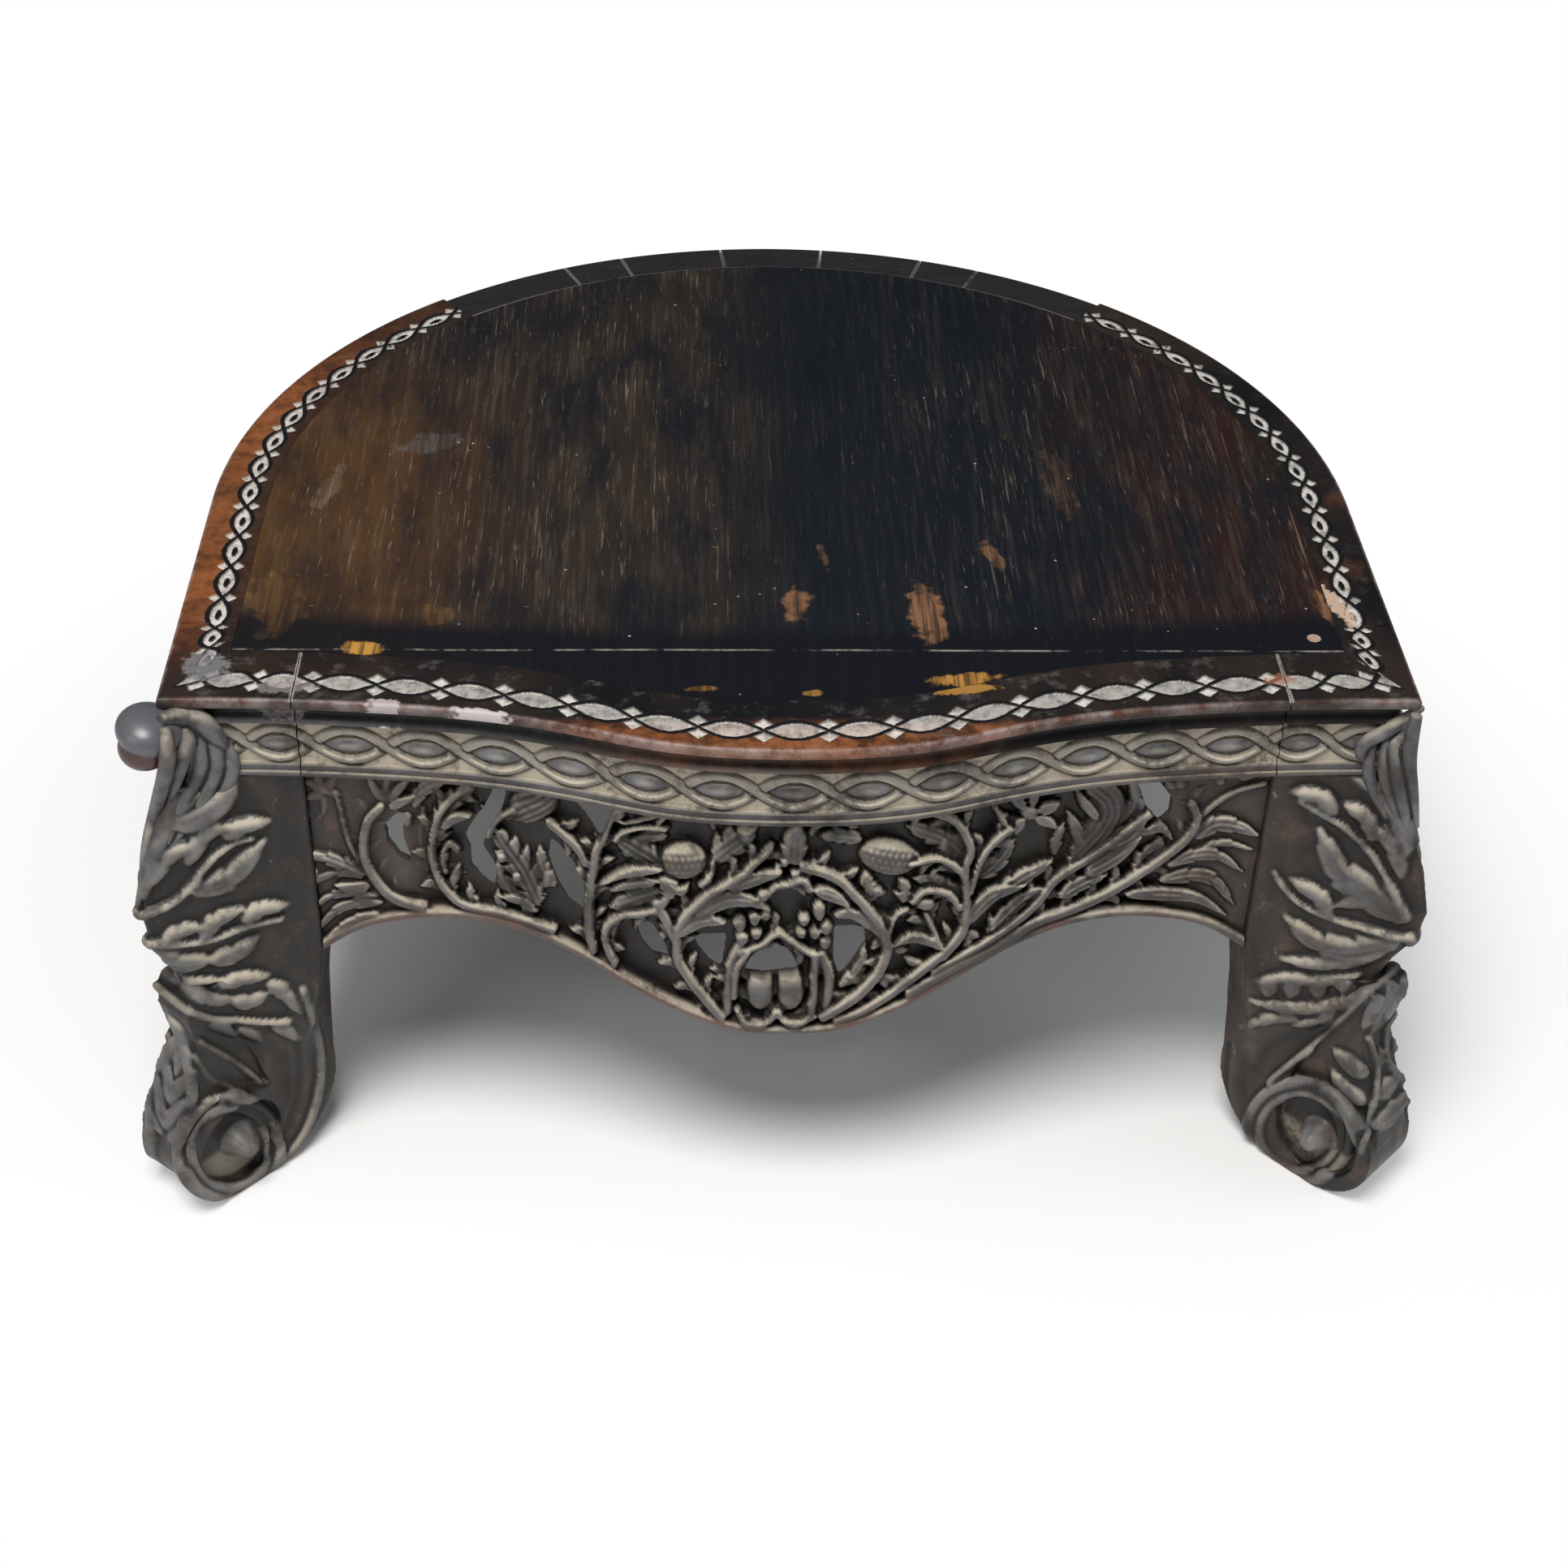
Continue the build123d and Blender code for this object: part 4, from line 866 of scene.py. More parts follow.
# Finishes
class Tree:
    """Short ways to place and join shader nodes."""

    def __init__(self, tree):
        self.tree = tree

    def put(self, node, key, value):
        """Set a socket, by its name or place, to a value or join it to an output."""
        if isinstance(value, bpy.types.NodeSocket):
            self.tree.links.new(value, node.inputs[key])
        else:
            node.inputs[key].default_value = value

    def node(self, kind, **inputs):
        """A node of a kind, with its inputs set or joined by name."""
        made = self.tree.nodes.new(kind)
        for key, value in inputs.items():
            self.put(made, key.replace("_", " "), value)
        return made

    def group(self, shared, **inputs):
        """The outputs of a shared node group."""
        made = self.tree.nodes.new("ShaderNodeGroup")
        made.node_tree = shared
        for key, value in inputs.items():
            self.put(made, key.replace("_", " "), value)
        return made.outputs

    def maths(self, operation, *values, clamp=False):
        """A Math node's value."""
        made = self.tree.nodes.new("ShaderNodeMath")
        made.operation = operation
        made.use_clamp = clamp
        for i, value in enumerate(values):
            self.put(made, i, value)
        return made.outputs[0]

    def times(self, *values):
        """Values multiplied together."""
        return reduce(lambda first, second: self.maths("MULTIPLY", first, second), values)

    def plus(self, first, second, clamp=False):
        """Two values added."""
        return self.maths("ADD", first, second, clamp=clamp)

    def ramp(self, value, low, high, to_low=0.0, to_high=1.0):
        """A value moved smoothly from one range to another."""
        made = self.tree.nodes.new("ShaderNodeMapRange")
        made.interpolation_type = "SMOOTHSTEP"
        for i, item in enumerate((value, low, high, to_low, to_high)):
            self.put(made, i, item)
        return made.outputs[0]

    def blend(self, factor, first, second):
        """Two colours mixed."""
        made = self.tree.nodes.new("ShaderNodeMix")
        made.data_type = "RGBA"
        for i, item in ((0, factor), (6, first), (7, second)):
            self.put(made, i, item)
        return made.outputs[2]

    def noise(self, vector, scale, detail=4.0, rough=0.55):
        """Noise on coordinates."""
        return self.node("ShaderNodeTexNoise", Vector=vector, Scale=scale, Detail=detail, Roughness=rough).outputs[0]

    def place(self, vector, scale, rotation=(0, 0, 0)):
        """Coordinates turned and stretched."""
        return self.node("ShaderNodeMapping", Vector=vector, Scale=scale, Rotation=rotation).outputs[0]

    def coordinates(self):
        """Object coordinates."""
        return self.tree.nodes.new("ShaderNodeTexCoord").outputs["Object"]

    def split(self, vector):
        """The x, y and z of coordinates."""
        return self.node("ShaderNodeSeparateXYZ", Vector=vector).outputs

    def attribute(self, name):
        """A value stored on the mesh's points."""
        made = self.tree.nodes.new("ShaderNodeAttribute")
        made.attribute_name = name
        return made.outputs["Fac"]

    def spot(self, x, y, centre, radii, turn):
        """How far a plan place lies from an oval's centre, as a squared share of its radii in millimetres."""
        dx = self.maths("SUBTRACT", x, centre[0] * MM)
        dy = self.maths("SUBTRACT", y, centre[1] * MM)
        c = cos(radians(turn))
        s = sin(radians(turn))
        u = self.plus(self.times(dx, c), self.times(dy, s))
        v = self.maths("SUBTRACT", self.times(dy, c), self.times(dx, s))
        squares = (self.maths("POWER", self.maths("DIVIDE", d, r * MM), 2.0) for d, r in zip((u, v), radii))
        return self.plus(*squares)


def shader_group(name, inputs, outputs):
    """Turn a function that fills a shader node group into one that gives the group, made once."""
    def wrap(fill):
        @wraps(fill)
        def get():
            if name not in bpy.data.node_groups:
                made = bpy.data.node_groups.new(name, "ShaderNodeTree")
                for key, kind in inputs.items():
                    made.interface.new_socket(key, in_out="INPUT", socket_type=f"NodeSocket{kind}")
                for key in outputs:
                    made.interface.new_socket(key, in_out="OUTPUT", socket_type="NodeSocketFloat")
                start = made.nodes.new("NodeGroupInput")
                end = made.nodes.new("NodeGroupOutput")
                for key, value in zip(outputs, fill(Tree(made), start.outputs)):
                    made.links.new(value, end.inputs[key])
            return bpy.data.node_groups[name]
        return get
    return wrap


@shader_group("Wood grain", {"Vector": "Vector", "Fineness": "Float"}, ("Fibre", "Pores", "Drift"))
def grain_group(t, given):
    """Long wood fibres with open pores, on coordinates already stretched along the grain."""
    vector = given["Vector"]
    fine = given["Fineness"]
    pores = t.noise(vector, t.times(fine, 2.6), 3.0, 0.7)
    return (t.noise(vector, fine, 6.0, 0.62), t.ramp(pores, 0.60, 0.74),
            t.noise(vector, t.times(fine, 0.16), 3.0, 0.5))


@shader_group("Tan and sheen", {"Vector": "Vector", "Amount": "Float"}, ("Tan", "Sheen"))
def tan_and_sheen_group(t, given):
    """Shares of tan (dust and painted highlight) and of painted sheen, from the mesh's tan and edge values broken up
    by noise.
    """
    vector = given["Vector"]
    patches = t.noise(vector, 28.0, 4.0, 0.6)
    fine = t.noise(vector, 240.0, 4.0, 0.7)
    speck = t.plus(t.times(patches, 0.75), t.times(fine, 0.45))
    dust_and_highlight_tan = t.times(t.attribute("dust_and_highlight"), t.ramp(speck, 0.44, 0.64, 0.15, 1.0), given["Amount"])
    sheen_share = t.times(t.attribute("edge"), t.ramp(patches, 0.30, 0.60, 0.2, 1.0))
    return dust_and_highlight_tan, sheen_share


def new_material(name):
    """A material with only its shader and output, ready for its nodes."""
    made = bpy.data.materials.new(name)
    made.use_nodes = True
    return made, Tree(made.node_tree), made.node_tree.nodes["Principled BSDF"]


def material(name, specular=0.5, coat=0.0):
    """Turn a function that gives colour, roughness and bump into one that gives the material, made once.

    The bump is its strength, its depth in millimetres and its height.
    """
    def wrap(fill):
        @wraps(fill)
        def get():
            if name not in bpy.data.materials:
                made, t, shader = new_material(name)
                base, rough, bump = fill(t)
                t.put(shader, "Base Color", base)
                t.put(shader, "Roughness", rough)
                if bump:
                    strength, depth, height = bump
                    relief = t.node("ShaderNodeBump", Strength=strength, Distance=depth * MM, Height=height)
                    t.put(shader, "Normal", relief.outputs[0])
                for key, value in (("Specular IOR Level", specular), ("Coat Weight", coat), ("Coat Roughness", 0.28)):
                    shader.inputs[key].default_value = value
            return bpy.data.materials[name]
        return get
    return wrap


@material("carved_dark_wood", specular=0.32)
def carved_finish(t):
    """Dark carved wood: a painted slate sheen on high work, tan dust and painted highlight on edges facing up, black
    lines and painted shade, and red-brown rubbed edges.
    """
    where = t.coordinates()
    grain = t.group(grain_group(), Vector=t.place(where, (1.0, 1.0, 0.22)), Fineness=130.0)
    tan_and_sheen = t.group(tan_and_sheen_group(), Vector=where, Amount=1.0)
    base = t.blend(t.ramp(grain["Drift"], 0.44, 0.60), rgb("black"), rgb("brown"))
    base = t.blend(t.times(t.ramp(grain["Fibre"], 0.4, 0.7), 0.22), base, (0.075, 0.066, 0.058, 1))
    mottled = t.times(t.ramp(t.noise(where, 42.0, 5.0, 0.7), 0.48, 0.66), 0.6)
    base = t.blend(mottled, base, (0.085, 0.050, 0.036, 1))
    scuffs = t.noise(t.place(where, (1.0, 1.0, 0.35), rotation=(0.5, 0.3, 0)), 260.0, 3.0, 0.7)
    base = t.blend(t.ramp(scuffs, 0.66, 0.74, 0.0, 0.6), base, (0.24, 0.21, 0.17, 1))
    # Painted sheen: grey-blue on the high work, from the edge values
    sheen = t.times(tan_and_sheen["Sheen"], t.ramp(t.noise(where, 90.0), 0.30, 0.62, 0.35, 1.0))
    base = t.blend(sheen, base, rgb("sheen_grey"))
    rubbed = t.times(t.attribute("rubbed"), t.ramp(t.noise(where, 24.0, 4.0, 0.6), 0.38, 0.60), 0.85)
    base = t.blend(rubbed, base, rgb("red"))
    # Tan: dust, and painted highlight on parts facing up
    base = t.blend(tan_and_sheen["Tan"], base, rgb("dust_and_highlight_tan"))
    # Black: lines, and painted shade in hollows and depths
    base = t.blend(t.times(t.attribute("lines_and_shade"), 0.93), base, (0.010, 0.009, 0.008, 1))
    rough = t.plus(t.ramp(grain["Fibre"], 0.3, 0.7, 0.38, 0.55), t.times(tan_and_sheen["Tan"], 0.4), clamp=True)
    height = t.plus(t.times(grain["Fibre"], 0.5), t.times(t.noise(where, 420.0, 3.0, 0.6), 0.5))
    return base, rough, (0.32, 0.8, height)


@material("polished_scroll_end", coat=0.08)
def polished_finish(t):
    """The scroll end polished by hands: a painted slate-grey reflection above, red-brown wear below, painted shade in
    its hollows.
    """
    where = t.coordinates()
    x, _, z = t.split(where)
    patches = t.noise(where, 70.0, 4.0, 0.6)
    height = t.plus(t.plus(z, t.ramp(patches, 0.3, 0.7, -0.002, 0.002)), t.times(t.plus(x, 0.311), 0.35))
    # Painted reflection: grey-blue over the top, red-brown wear below
    base = t.blend(t.ramp(height, 0.2975, 0.3015), (0.050, 0.016, 0.011, 1), (0.085, 0.087, 0.097, 1))
    # Painted shade in the hollows
    base = t.blend(t.attribute("lines_and_shade"), base, (0.012, 0.010, 0.010, 1))
    base = t.blend(t.ramp(patches, 0.5, 0.75, 0.0, 0.5), base, rgb("brown"))
    return base, t.ramp(patches, 0.3, 0.7, 0.32, 0.48), None


# Worn spots on the rim: centre and radii in millimetres, turn in degrees, colour and strength
RIM_SPOTS = (
    ((280.0, -142.0), (5.0, 21.0), 16.0, (0.50, 0.36, 0.27, 1), 0.9),
    ((83.0, -214.0), (17.0, 4.0), 8.0, (0.43, 0.215, 0.045, 1), 0.7),
    ((-150.0, -233.5), (14.0, 3.6), -12.0, (0.52, 0.47, 0.46, 1), 0.85),
    ((-197.0, -225.5), (9.0, 3.0), -4.0, (0.50, 0.44, 0.43, 1), 0.7),
    ((238.0, -205.0), (9.0, 5.0), 0.0, (0.30, 0.12, 0.06, 1), 0.6),
    ((-285.0, -196.0), (11.0, 14.0), 20.0, (0.17, 0.165, 0.17, 1), 0.8),
    ((-245.0, -213.0), (16.0, 5.0), 0.0, (0.24, 0.20, 0.20, 1), 0.6))


@material("rim_wood", specular=0.22)
def rim_finish(t):
    """Polished rim: black wood, pale filling in the band, warm worn margins, painted shade in the cove and a painted
    highlight along the lip.
    """
    where = t.coordinates()
    x, y, _ = t.split(where)
    grain = t.group(grain_group(), Vector=t.place(where, (0.5, 0.25, 1.0)), Fineness=160.0)
    tan_and_sheen = t.group(tan_and_sheen_group(), Vector=where, Amount=0.6)
    patches = t.noise(where, 16.0, 5.0, 0.62)
    fine = t.noise(where, 75.0, 5.0, 0.7)
    base = t.blend(t.ramp(grain["Drift"], 0.42, 0.68), (0.006, 0.006, 0.007, 1), (0.026, 0.018, 0.014, 1))
    warm_left = t.times(
        t.ramp(x, -0.150, -0.235), t.ramp(y, -0.215, -0.120), t.ramp(t.attribute("inner"), 0.80, 0.55, 0.15, 1.0),
        t.ramp(y, 0.150, 0.060, 0.25, 1.0), t.ramp(patches, 0.20, 0.52), t.ramp(fine, 0.30, 0.62, 0.35, 1.0))
    base = t.blend(warm_left, base, rgb("orange"))
    warm_front = t.times(t.ramp(y, -0.236, -0.248), t.ramp(patches, 0.36, 0.56), t.ramp(fine, 0.35, 0.6, 0.2, 0.9))
    base = t.blend(warm_front, base, rgb("orange"))
    base = t.blend(t.times(t.ramp(x, 0.255, 0.290), t.ramp(patches, 0.54, 0.66), 0.5), base, rgb("red"))
    grey = t.times(t.ramp(fine, 0.52, 0.72), t.ramp(y, -0.12, -0.20, 0.08, 0.30))
    base = t.blend(grey, base, (0.20, 0.18, 0.175, 1))
    # Painted highlight along the lip: pinkish grey over red-brown, where the edge values are set
    worn = t.blend(t.ramp(fine, 0.35, 0.60), rgb("red"), (0.30, 0.245, 0.235, 1))
    base = t.blend(t.times(tan_and_sheen["Sheen"], 0.8), base, worn)
    # Black: the band's dark ribbons, and painted shade in the cove
    base = t.blend(t.attribute("lines_and_shade"), base, (0.007, 0.007, 0.008, 1))
    pale = t.times(t.attribute("pale"), t.ramp(t.noise(where, 150.0, 4.0, 0.75), 0.28, 0.60, 0.35, 1.0))
    base = t.blend(pale, base, rgb("chalk"))
    ragged = t.ramp(t.noise(where, 260.0), 0.3, 0.7, -0.5, 0.5)
    for centre, radii, turn, tone, strength in RIM_SPOTS:
        edge = t.plus(t.spot(x, y, centre, radii, turn), ragged)
        base = t.blend(t.times(t.ramp(edge, 1.2, 0.5), strength), base, tone)
    rough = t.plus(t.ramp(patches, 0.3, 0.7, 0.34, 0.50), t.times(pale, 0.3), clamp=True)
    height = t.plus(t.times(grain["Fibre"], 0.6), t.times(grain["Pores"], -0.5))
    return base, rough, (0.25, 0.6, height)


@material("rear_block_wood", specular=0.3)
def block_finish(t):
    """The plain blocks round the back: black, with a worn inner edge and pale joints."""
    where = t.coordinates()
    grain = t.group(grain_group(), Vector=t.place(where, (0.3, 1.0, 1.0)), Fineness=150.0)
    patches = t.noise(where, 40.0, 4.0, 0.65)
    worn = t.ramp(patches, 0.30, 0.5)
    base = t.blend(grain["Fibre"], (0.006, 0.006, 0.007, 1), (0.030, 0.028, 0.028, 1))
    base = t.blend(t.times(t.ramp(t.attribute("inner"), 0.84, 0.92), worn), base, (0.24, 0.20, 0.18, 1))
    base = t.blend(t.ramp(t.noise(where, 210.0, 3.0, 0.7), 0.68, 0.76, 0.0, 0.6), base, (0.16, 0.15, 0.145, 1))
    base = t.blend(t.times(t.attribute("pale"), worn), base, (0.26, 0.24, 0.22, 1))
    return base, t.ramp(patches, 0.3, 0.7, 0.40, 0.6), (0.3, 0.6, grain["Fibre"])


# Spots on the seat: centre and radii in millimetres, turn in degrees, colour and strength
PANEL_SPOTS = (
    ((-211.0, -180.0), (11.0, 5.5), 0.0, "ochre", 0.95), ((83.0, -206.0), (17.0, 5.0), 8.0, "ochre", 0.85),
    ((10.0, -217.0), (6.0, 2.5), 0.0, "ochre", 0.5), ((-46.0, -214.0), (8.0, 2.5), 0.0, "ochre", 0.5),
    ((4.0, -141.0), (7.0, 17.0), -6.0, "worn", 0.8), ((69.0, -150.0), (9.0, 26.0), 4.0, "worn", 0.95),
    ((108.0, -95.0), (4.0, 15.0), 20.0, "worn", 0.70), ((19.0, -97.0), (2.5, 11.0), 10.0, "worn", 0.5),
    ((-258.0, -138.0), (14.0, 28.0), 12.0, "ochre", 0.10), ((-244.0, -30.0), (5.0, 26.0), -12.0, "streak", 0.45),
    # The grey-blue spot on this line is a painted sheen
    ((-194.0, 18.0), (18.0, 10.0), 30.0, "sheen_grey", 0.30), ((-178.0, -150.0), (9.0, 9.0), 0.0, "ochre", 0.10),
    ((272.0, -142.0), (3.5, 20.0), 10.0, "worn", 0.9), ((150.0, -20.0), (8.0, 40.0), 4.0, "worn", 0.18))


@material("seat_board_wood", specular=0.10)
def board_finish(t):
    """Seat boards: fine fore-and-aft streaks on dark wood, amber left, a blue-black middle that is a painted
    reflection, red right.
    """
    where = t.coordinates()
    x, y, _ = t.split(where)
    streak = t.group(grain_group(), Vector=t.place(where, (1.0, 0.050, 1.0)), Fineness=330.0)
    broad = t.noise(where, 9.0)
    cloud = t.noise(t.place(where, (1.0, 0.30, 1.0)), 34.0, 5.0, 0.65)
    # Blue-black base: dark wood with a painted reflection, left showing in the middle
    base = t.blend(broad, (0.004, 0.007, 0.012, 1), (0.011, 0.012, 0.015, 1))
    amber = t.times(t.ramp(x, -0.10, -0.24), t.ramp(y, 0.20, 0.0), t.ramp(cloud, 0.30, 0.62, 0.25, 1.0))
    base = t.blend(amber, base, rgb("amber"))
    middle = t.times(t.ramp(x, -0.22, -0.10), t.ramp(x, 0.02, -0.06), t.ramp(cloud, 0.35, 0.65, 0.1, 0.7))
    base = t.blend(middle, base, (0.036, 0.025, 0.017, 1))
    ruddy = t.times(t.ramp(x, 0.10, 0.24), t.ramp(cloud, 0.34, 0.62), 0.8)
    base = t.blend(ruddy, base, (0.026, 0.011, 0.009, 1))
    side = t.plus(t.ramp(x, 0.02, -0.10, 0.22, 1.0), t.ramp(x, 0.02, 0.14, 0.0, 0.5), clamp=True)
    fibres = t.times(t.ramp(streak["Fibre"], 0.46, 0.66), t.ramp(cloud, 0.34, 0.66, 0.12, 0.70), side, 0.45)
    base = t.blend(fibres, base, (0.105, 0.080, 0.055, 1))
    off_middle = t.ramp(t.maths("ABSOLUTE", t.plus(x, -0.03)), 0.02, 0.10, 0.25, 1.0)
    cracks = t.noise(t.place(where, (1.0, 0.028, 1.0), rotation=(0, 0, 0.02)), 420.0, 3.0, 0.7)
    cracks = t.times(t.ramp(cracks, 0.62, 0.68), t.ramp(cloud, 0.42, 0.60), off_middle, 0.65)
    base = t.blend(cracks, base, (0.17, 0.135, 0.10, 1))
    base = t.blend(t.times(streak["Pores"], side, t.ramp(broad, 0.32, 0.56), 0.85), base, rgb("streak"))
    scratch = t.noise(t.place(where, (0.35, 1.0, 1.0), rotation=(0, 0, 0.9)), 210.0, 2.0, 0.5)
    scratch = t.times(t.ramp(scratch, 0.76, 0.80), t.ramp(x, 0.05, -0.20, 0.10, 0.5))
    base = t.blend(scratch, base, (0.26, 0.22, 0.17, 1))
    bowed = t.maths("SUBTRACT", y, t.times(t.maths("POWER", x, 2.0), 0.25))
    front_band = t.times(t.ramp(bowed, -0.156, -0.176), t.ramp(cloud, 0.25, 0.5, 0.65, 0.95))
    base = t.blend(front_band, base, (0.006, 0.007, 0.010, 1))
    line = t.maths("ABSOLUTE", t.plus(t.plus(y, 0.1815), t.ramp(broad, 0.2, 0.8, -0.0006, 0.0006)))
    line = t.times(t.ramp(line, 0.0010, 0.0004), t.ramp(t.noise(where, 45.0, 4.0, 0.7), 0.42, 0.62), 0.7)
    base = t.blend(line, base, (0.30, 0.27, 0.24, 1))
    ragged = t.ramp(t.noise(where, 120.0), 0.3, 0.7, -0.6, 0.6)
    speckle = t.ramp(streak["Fibre"], 0.40, 0.58, 0.25, 1.0)
    for centre, radii, turn, key, strength in PANEL_SPOTS:
        edge = t.plus(t.spot(x, y, centre, radii, turn), ragged)
        base = t.blend(t.times(t.ramp(edge, 1.3, 0.4), speckle, strength), base, rgb(key))
    dots = t.node("ShaderNodeTexVoronoi", Vector=where, Scale=85.0).outputs[0]
    dots = t.times(t.ramp(dots, 0.075, 0.045), t.ramp(t.noise(where, 22.0), 0.52, 0.60), 0.8)
    base = t.blend(dots, base, (0.42, 0.38, 0.32, 1))
    height = t.maths("SUBTRACT", streak["Fibre"], t.times(streak["Pores"], 0.8))
    return base, t.ramp(streak["Fibre"], 0.35, 0.65, 0.45, 0.62), (0.25, 0.5, height)


def plain_finish(name, first, second, low, high):
    """Unpolished inner wood, or another plain grained finish."""
    @material(name)
    def fill(t):
        grain = t.group(grain_group(), Vector=t.place(t.coordinates(), (0.2, 1.0, 1.0)), Fineness=120.0)
        rough = t.ramp(grain["Fibre"], 0.3, 0.7, low, high)
        return t.blend(grain["Fibre"], first, second), rough, (0.4, 0.6, grain["Fibre"])
    return fill()


@material("peg_end_grain", specular=0.2)
def peg_finish(t):
    """Peg ends: dark like the seat, but for the pale one at the right front."""
    where = t.coordinates()
    x, y, _ = t.split(where)
    fibre = t.group(grain_group(), Vector=where, Fineness=600.0)["Fibre"]
    dark = t.blend(fibre, (0.010, 0.009, 0.010, 1), (0.034, 0.024, 0.018, 1))
    light = t.blend(fibre, (0.20, 0.12, 0.08, 1), (0.50, 0.38, 0.29, 1))
    base = t.blend(t.times(t.ramp(x, 0.0, 0.1), t.ramp(y, 0.0, -0.1)), dark, light)
    return base, t.ramp(fibre, 0.3, 0.7, 0.5, 0.7), None


CORNERS = ("front_left", "front_right", "rear_left", "rear_right")
INNER = ("board_tongues", "batten_front", "batten_rear", "rim_pins",
         *(f"glue_blocks_{corner}" for corner in CORNERS), *(f"dowels_{corner}" for corner in CORNERS))


def paint(node, look):
    """Give a CAD node's own solid its finish."""
    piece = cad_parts[node]
    piece.data.materials.clear()
    piece.data.materials.append(look)


# Aprons: places along the half of a lower edge and how far each hangs from the arch to the middle
FRONT_EDGE_SHARES = (
    (0.92, 0.25), (0.82, 0.07), (0.68, 0.0), (0.56, 0.08), (0.45, 0.27), (0.34, 0.53), (0.22, 0.79), (0.09, 0.98))
PLAIN_EDGE_SHARES = ((0.84, 0.20), (0.62, 0.0), (0.40, 0.20), (0.20, 0.75), (0.08, 0.98))
END_DROP = 118.0
ARCH_DROP = 91.0
SIDE_PENDANT = 112.0


def lower_edge(half_length, shares, pendant):
    """Height of an apron's lower edge along its length."""
    half = [(half_length, RAIL_Z - END_DROP)]
    half += [(a * half_length, RAIL_Z - ARCH_DROP - d * (pendant - ARCH_DROP)) for a, d in shares]
    points = [(-u, z) for u, z in half] + [(0.0, RAIL_Z - pendant)] + half[::-1]
    us, zs = np.array(points).T
    spline = natural_spline(us, zs)
    return lambda u: spline(np.clip(u, -half_length, half_length))


def soften(grid, passes):
    """A grid averaged with its neighbours a number of times."""
    grid = grid.copy()
    for _ in range(passes):
        for axis in (0, 1):
            padded = np.concatenate([grid.take([0], axis), grid, grid.take([-1], axis)], axis)
            count = grid.shape[axis]
            before = padded.take(range(count), axis)
            after = padded.take(range(2, count + 2), axis)
            grid = 0.25 * before + 0.5 * grid + 0.25 * after
    return grid


def tan_sheen_and_shade_maps(height, near, wide, raised, deep, up):
    """Shares of tan on edges facing up, dust with painted highlight; of slate, a painted sheen on raised work; and of
    black, painted shade in its lines and depths.

    They come from a height, its near and wide averages, how far it is raised, the ground's height and how far
    it faces up.
    """
    # Painted shade: black in the depths, in thin lines beside raised work and in wide hollows
    shade = np.clip((deep + 2.2 - height) / 2.0, 0, 1) * 0.9
    line = np.clip((near - height - 0.06) / 0.30, 0, 1)
    shade = np.maximum(shade, 0.75 * np.clip((wide - height - 0.25) / 0.7, 0, 1))
    crest = np.clip((height - near - 0.10) / 0.35, 0, 1)
    # Tan on raised edges facing up and on crests: dust, and painted highlight
    tan = np.clip(up * 1.35 - 0.20, 0, 1) * raised * (1 - line) + 0.16 * crest
    # Painted sheen on raised work, stronger where it faces up
    sheen_grey = raised * (0.65 + 0.35 * up)
    return np.clip(tan, 0, 1), sheen_grey, np.maximum(shade, line)


# How far an opening's walls fall for each millimetre back, near the view in which it was drawn
UNDERCUT = 0.36
# Thickness of the wood behind the carved ground
PLATE = 4.0
PANEL_ROWS = 170
# How far along the front apron the side and back aprons copy
FOLIAGE_REACH = 150.0
REAR_FOLIAGE_REACH = 215.0
# How much coarser the nets of the pieces are that stand behind the front
HIDDEN_GRAIN = 1.42


def even_loops(points, loops):
    """Points of openings drawn halfway to the mean of their neighbours along the edge, a few times."""
    for _ in range(4):
        total = np.zeros_like(points)
        ties = np.zeros(len(points))
        for a, b in ((0, 1), (1, 0)):
            np.add.at(total, loops[:, a], points[loops[:, b]])
            np.add.at(ties, loops[:, a], 1)
        tied = ties > 1
        points[tied] = (points[tied] + total[tied] / ties[tied, None]) / 2
    return points


def panel(name, front, back, keep, attributes):
    """A closed wall between two grids of points, open where its cells aren't kept."""
    rows, columns = front.shape[:2]
    count = rows * columns
    index = np.arange(count).reshape(rows, columns)
    cells = np.stack([index[:-1, :-1], index[:-1, 1:], index[1:, 1:], index[1:, :-1]], -1)[keep]
    edges = np.concatenate([cells[:, [i, (i + 1) % 4]] for i in range(4)])
    border = edges[~np.isin(edges[:, 0] * count + edges[:, 1], edges[:, 1] * count + edges[:, 0])]
    row, column = border[:, 0] // columns, border[:, 0] % columns
    loops = border[(row > 0) & (row < rows - 1) & (column > 0) & (column < columns - 1)]
    grids = [even_loops(grid.reshape(-1, 3).copy(), loops) for grid in (front, back)]
    walls = np.stack([border[:, 1], border[:, 0], border[:, 0] + count, border[:, 1] + count], -1)
    faces = np.concatenate([cells, cells[:, ::-1] + count, walls])
    used, faces = np.unique(faces, return_inverse=True)
    layers = {k: np.concatenate([v.ravel(), np.zeros(count)])[used] for k, v in attributes.items()}
    piece = new_object(name, np.concatenate(grids)[used], faces.reshape(-1, 4).tolist(), layers)
    close_up(piece, 50.0)
    return piece


